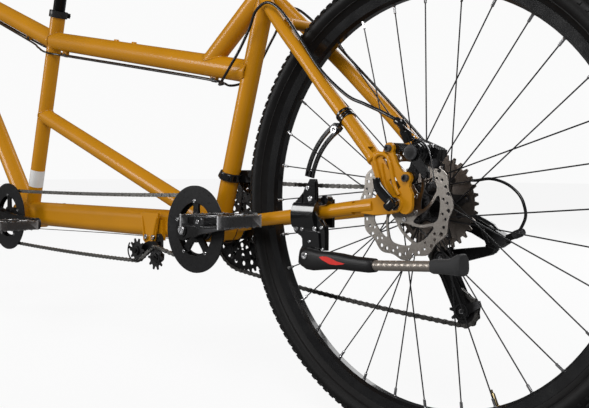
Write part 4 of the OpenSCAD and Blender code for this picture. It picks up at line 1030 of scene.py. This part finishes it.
# ---------------------------------------------------------------- rear caliper
def make_caliper():
    """A mechanical caliper turned to follow the rotor, on an adapter between two tabs."""
    rot = Matrix.Rotation(math.radians(-21.6), 3, "Y")
    tabs = ((13, 77), (-17, 36))

    def at(x, y, z):
        return rot @ Vector((x, y, z))

    g = Geo(block(at(-5, 50, 80), (38, 24, 24), rot),
            block(at(-24, 52, 84), (14, 20, 16), rot),
            block(at(-13, 66, 88), (22, 12, 9), rot),
            lathe([(0, -1), (14.5, -1), (15, 0), (15, 9), (13.8, 10.5), (13.8, 13), (12.2, 15),
                   (12.2, 18.4), (10.8, 20), (0, 20)], at(-6, 61, 79), LEFT, 36),
            # housing stop arm rising in front of the body
            tube(smooth_path([at(18, 66, 86), at(25, 73, 98), at(27, 79, 106), at(31, 80, 110)],
                             5), [7.0] * 6 + [5.6] * 10, 14),
            lathe([(2.8, -4), (4.6, -4), (5.4, -3), (5.4, 6), (4.4, 8), (2.8, 8)],
                  (-10, 80.4, 112), (0.83, -0.04, 0.4), 20, closed=True),
            *[lathe([(0, 0), (8, 0), (8, 5.8), (0, 5.8)], (x, 61.2, z), LEFT, 24)
              for x, z in tabs],
            plate([(21, 72), (21, 80), (12, 85), (-6, 84), (-30, 78), (-31, 60), (-27, 36),
                   (-20, 28), (-10, 30), (-9, 40), (-18, 52), (-22, 66), (-6, 74), (8, 69)],
                  58, 66.8))
    g.piece("rear_caliper_body", "gloss", "frame", replaces=["rear_caliper"],
            sharp=40, bevel=1.6)
    prof = [(0, 0), (6.6, 0)]
    for i in range(5):
        prof += [(7.2, 1.4 * i + 0.6), (6.7, 1.4 * i + 1.3)]
    Geo(lathe(prof + [(6.0, 8.6), (0, 8.6)], at(-30, 56, 72), LEFT, 28),
        lathe([(0, -0.4), (10, -0.4), (10.6, 1.0), (9.6, 2.4), (4, 2.6), (0, 2.6)],
              at(-6, 88, 78), LEFT, 32)
        ).piece("rear_caliper_knobs", "black", "frame", sharp=40)
    bolts("rear_caliper_mount_bolts", "frame", [((x, 73.4, z), LEFT, 5.2, 5.4) for x, z in tabs],
          "black")
    bolts("rear_caliper_bolts", "frame",
          [(at(x, 62.4, z), LEFT, 3.4, 1.6) for x, z in ((15, 92), (15, 69), (-19, 93))])
    Geo(tube(smooth_path([(-14, 81, 110), (-27, 86, 103), (-48, 89, 90), (-62, 89, 77),
                          (-69, 89, 58), (-72, 88, 36)], 8), 0.85, 8),
        lathe([(0, -2.2), (1.5, -2.2), (1.5, 2.2), (0, 2.2)], (-72, 88, 35), (0.1, 0, 1), 10)
        ).piece("brake_inner_cable", "steel", "frame")


make_caliper()


# ---------------------------------------------------------------- dropouts and lever
def make_dropout_ribs():
    """Raised ribs on the left dropout, the seat round its axle, and collars on the stays."""
    rib = [(2, 74.6, 3), (13.5, 74.6, 10.6), (24.2, 74.6, 24.4), (29.6, 74.6, 38.4),
           (34.3, 74.6, 52.5), (37.1, 74.6, 62.3), (31.8, 74.8, 68.4), (23, 74.8, 69.6),
           (15.4, 74.6, 66), (9.4, 74.6, 54), (5.2, 74.6, 38.6), (1, 74.6, 25),
           (-6, 74.6, 12.5)]
    middle = [(12, 74.4, 14), (18.6, 74.4, 28), (22.5, 74.4, 42), (25, 74.4, 56)]
    g = Geo(tube(smooth_path(rib, 6), 2.9, 12), tube(smooth_path(middle, 8), 2.2, 12),
            lathe([(6.0, -1), (11.8, -1), (12.6, 0.4), (11.8, 2.2), (6.0, 2.2)], (0, 73.4, 0),
                  LEFT, 32, closed=True))
    for s in (-1, 1):
        g.add(lathe([(9.4, -4), (11.6, -3), (12.2, 0), (11.6, 3), (9.4, 4)],
                    (44, s * 65.2, 64), (0.69, s * -0.054, 0.72), 32, closed=True))
    g.piece("dropout_ribs", "paint", "frame")


def make_qr_lever():
    """A curved flat handle on a short cross barrel."""
    path = smooth_path([(-7, 85.4, -1), (1, 85.8, 4.4), (9, 86.2, 11), (18, 86.8, 20),
                        (22, 87, 28), (23.6, 87, 36)], 7)
    n, last = 14, len(path) - 1
    out = Vector(LEFT)
    rings = []
    for i, (p, a, b) in enumerate(frames(path)):
        t = i / last
        w = 3.5 if i == last else 7.0 - 1.2 * t + 1.6 * math.sin(math.pi * t)
        flat = a if abs(a[1]) < abs(b[1]) else b
        rings.append([p + flat * w * math.cos(q) + out * 2.9 * math.sin(q)
                      for q in (2 * math.pi * k / n for k in range(n))])
    Geo(loft(rings),
        lathe([(0, -8), (6.6, -8), (7, -7), (7, 7), (6.6, 8), (0, 8)], (0, 85.5, 0),
              (-0.766, 0, 0.643), 28)
        ).piece("rear_qr_handle", "gloss", "rear_qr_lever",
                replaces=["rear_qr_lever"], sharp=50)


make_dropout_ribs()
make_qr_lever()


# ---------------------------------------------------------------- gear changers
def make_front_changer():
    """The band on the rear seat tube and the two link plates that carry the cage."""
    band = Vector(on_seat(REAR_BB, REAR_ANGLE, 99))
    above = Vector(on_seat(REAR_BB, REAR_ANGLE, 110))
    link = [(424, 38), (430, 34), (426, 22), (414, 8), (404, 4), (398, 10), (404, 26), (412, 38)]
    Geo(collar(band, above - band, 16.6, 20.6, 11),
        block((438, 0, 34), (12, 12, 10)),
        *[plate(link, y - 1.6, y + 1.6) for y in (-24, -29.4)],
        *[tube([(x, -22, z), (x, -31, z)], 4.2, 16) for x, z in ((404, 12), (420, 31))],
        tube(smooth_path([(428, -22, 30), (434, -26, 24), (443, -27, 15), (448, -26, 10)], 5),
             2.6, 12)
        ).piece("front_changer_links", "gloss", "frame", sharp=40, bevel=0.5)
    Geo(bolt((448, 3, 38), (0.8, 0.6, 0), 4.4, 2.6),
        bolt((420, -21.8, 31), LEFT, 3.2, 1.2),
        bolt((404, -21.8, 12), LEFT, 3.2, 1.2),
        bolt((447, -23.6, 11), LEFT, 3.4, 1.6),
        tube(smooth_path([(412, -22, 21), (420, -24, 34), (432, -24, 30), (446, -25, 16)], 7),
             0.8, 8)
        ).piece("front_changer_screws", "steel", "frame")


def make_rear_changer():
    """Relief on the changer's knuckle, body and cage."""
    Geo(lathe([(0, 0), (12, 0), (14, 1.6), (14.6, 8), (13.4, 14), (9, 16.6), (0, 17)],
              (-9, -74, -28), RIGHT, 32),
        tube(smooth_path([(-14, -82, -24), (-34, -84, -27), (-58, -85, -38), (-78, -84, -52)],
                         6), [8.6] * 7 + [8.0] * 6 + [6.4] * 6, 16),
        tube([(-46, -78, -34), (-62, -78, -68)], 5.0, 14),
        tube([(-74, -79, -50), (-66, -79, -70)], 4.4, 14),
        lathe([(0, -9), (7.4, -9), (8, -8), (8, 6), (6, 8), (0, 8.4)], (-62, -82, -66), RIGHT, 24)
        ).piece("rear_changer_knuckle", "gloss", "frame", sharp=50)
    Geo(tube(smooth_path([(-62, -81, -70), (-40, -81, -75), (-14, -81, -82), (6, -81, -86)], 6),
             5.8, 16),
        lathe([(0, 0), (13.2, 0), (14, 1.4), (14, 6.6), (12, 8.2), (0, 8.6)], (8, -78, -86),
              RIGHT, 32)
        ).piece("rear_changer_body", "gloss", "derailleur_link", sharp=50)
    bolts("rear_changer_pins", "frame", [((x, -75.6, z), LEFT, 2.6, 1.0)
                                         for x, z in ((-34, -27.6), (-60, -40), (-76, -53))])
    # ribs along the cage's inner plate and a rim round each jockey wheel's hub
    ribs = [tube([(8 + dx * 0.89 - 5, -50.4, -86 - dx * 0.45 - 12),
                  (-30 + dx * 0.89 + 6, -50.4, -161 - dx * 0.45 + 12)], 1.5, 10)
            for dx in (-5.5, 5.5)]
    rims = [lathe([(r - 2, -1), (r, -1), (r, 1.2), (r - 2, 1.2)], (x, -50.8, z), LEFT, 36,
                  closed=True) for (x, z), r in ((UPPER_JOCKEY, 10.4), (LOWER_JOCKEY, 11.4))]
    Geo(*ribs, *rims).piece("cage_ribs", "gloss", "derailleur_cage")


make_front_changer()
make_rear_changer()


# ---------------------------------------------------------------- cassette carrier
def star(y0, y1, r_hub, r_arm, w_hub, w_arm, arms, phase):
    """A flat star of tapered arms round the axle; angles in radians."""
    pts = []
    for k in range(arms):
        a = 2 * math.pi * k / arms + phase
        h = math.pi / arms
        pts.append((r_hub * math.cos(a - h), r_hub * math.sin(a - h)))
        ca, sa = math.cos(a), math.sin(a)
        for r, w in ((r_hub * 1.12, -w_hub), (r_arm, -w_arm), (r_arm, w_arm),
                     (r_hub * 1.12, w_hub)):
            pts.append((r * ca - w * sa, r * sa + w * ca))
    return plate(pts, y0, y1)


def make_cassette_carrier():
    """The black carrier inside the largest cog, with its rivets."""
    inner = DRIVE_Y + 8 * 4.3
    g = Geo(lathe([(16.9, inner + 0.8), (30, inner + 0.8), (31, inner + 1.6), (29, inner + 2.4),
                   (16.9, inner + 2.4)], (0, 0, 0), LEFT, 64, closed=True),
            star(inner + 0.8, inner + 2.0, 29, 58, 8.5, 4.2, 5, 0.5))
    for k in range(15):
        a = 2 * math.pi * (k + 0.5) / 15
        if k % 3:
            g.add(lathe([(0, 0.8), (4.6, 0.8), (4.6, 1.1), (0, 1.1)],
                        (44 * math.cos(a), inner, 44 * math.sin(a)), LEFT, 20))
    g.piece("cassette_carrier", "carrier", "cassette", sharp=40)
    s = Geo()
    for k in range(5):
        a = 2 * math.pi * k / 5 + 0.5
        s.add(lathe([(0, 2.0), (2.2, 2.0), (1.8, 2.8), (0, 2.9)],
                    (53 * math.cos(a), inner, 53 * math.sin(a)), LEFT, 14))
    s.piece("cassette_rivets", "steel", "cassette")


make_cassette_carrier()


# ---------------------------------------------------------------- rotors
def pierced(outer, holes, x, y0, y1):
    """A flat sheet in the x-z plane with openings, between y0 and y1, its centre at x."""
    cu = bpy.data.curves.new("pierced", "CURVE")
    cu.dimensions = "2D"
    cu.fill_mode = "BOTH"
    cu.extrude = (y1 - y0) / 2
    for outline in [outer] + holes:
        s = cu.splines.new("POLY")
        s.points.add(len(outline) - 1)
        for p, (px, pz) in zip(s.points, outline):
            p.co = (px, pz, 0, 1)
        s.use_cyclic_u = True
    o = bpy.data.objects.new("pierced", cu)
    me = bpy.data.meshes.new_from_object(o)
    v = [(p.co[0] + x, (y0 + y1) / 2 + p.co[2], p.co[1]) for p in me.vertices]
    f = [tuple(q.vertices) for q in me.polygons]
    bpy.data.objects.remove(o)
    bpy.data.curves.remove(cu)
    bpy.data.meshes.remove(me)
    return v, f


def circle(radius, centre=(0, 0), n=14):
    return [polar(radius, 360 * k / n, centre) for k in range(n)]


def make_rotor(node, x, y, body, turn):
    """A waved ring carried by eight swept arms, with graded holes along the ring."""
    outer = [polar(77.6 + 2.4 * math.cos(math.radians(12 * a)), a) for a in range(0, 360, 3)]
    inner_r, hub_r, half_arm, steps = 59.0, 27.5, 2.9, 12

    def sweep(r):
        return 44 * ((inner_r - r) / (inner_r - hub_r)) ** 1.35

    holes = []
    for k in range(8):
        base = turn + 45 * k
        # the opening between two arms: up one, round the ring, down the other, round the hub
        left, right = [], []
        for i in range(steps):
            r = hub_r + 1.2 + (inner_r - hub_r - 2.0) * i / (steps - 1)
            ease = 2.2 if i in (0, steps - 1) else 0.0
            half = math.degrees((half_arm + ease) / r)
            left.append((r, base + sweep(r) + half))
            right.append((r, base + 45 + sweep(r) - half))
        ring = [(inner_r, left[-1][1] + (right[-1][1] - left[-1][1]) * i / 9)
                for i in range(1, 9)]
        hub = [(hub_r, right[0][1] + (left[0][1] - right[0][1]) * i / 5) for i in range(1, 5)]
        holes.append([polar(r, q) for r, q in left + ring + right[::-1] + hub])
        for q, r, radius in ((6, 73.0, 2.9), (16, 70.2, 2.2), (24, 72.6, 2.9), (34, 70.2, 2.2),
                             (43, 71.6, 2.5), (11, 64.4, 2.1), (29, 64.0, 2.1)):
            holes.append(circle(radius, polar(r, base + q)))
    bolt_circle = [polar(22, 60 * k + 30) for k in range(6)]
    holes.append(circle(14.3, n=40))
    holes += [circle(2.6, c) for c in bolt_circle]
    Geo(pierced(outer, holes, x, y + 0.06, y + 1.94)).piece(
        node + "_sheet", "rotor", body, replaces=[node], sharp=30)
    bolts(node + "_sheet_bolts", body,
          [((x + cx, y + 1.9, cz), LEFT, 3.6, 1.2) for cx, cz in bolt_circle])


make_rotor("rear_rotor", 0.0, 51, "rear_wheel", -18)
make_rotor("front_rotor", WHEELBASE, 38, "front_wheel", 10)
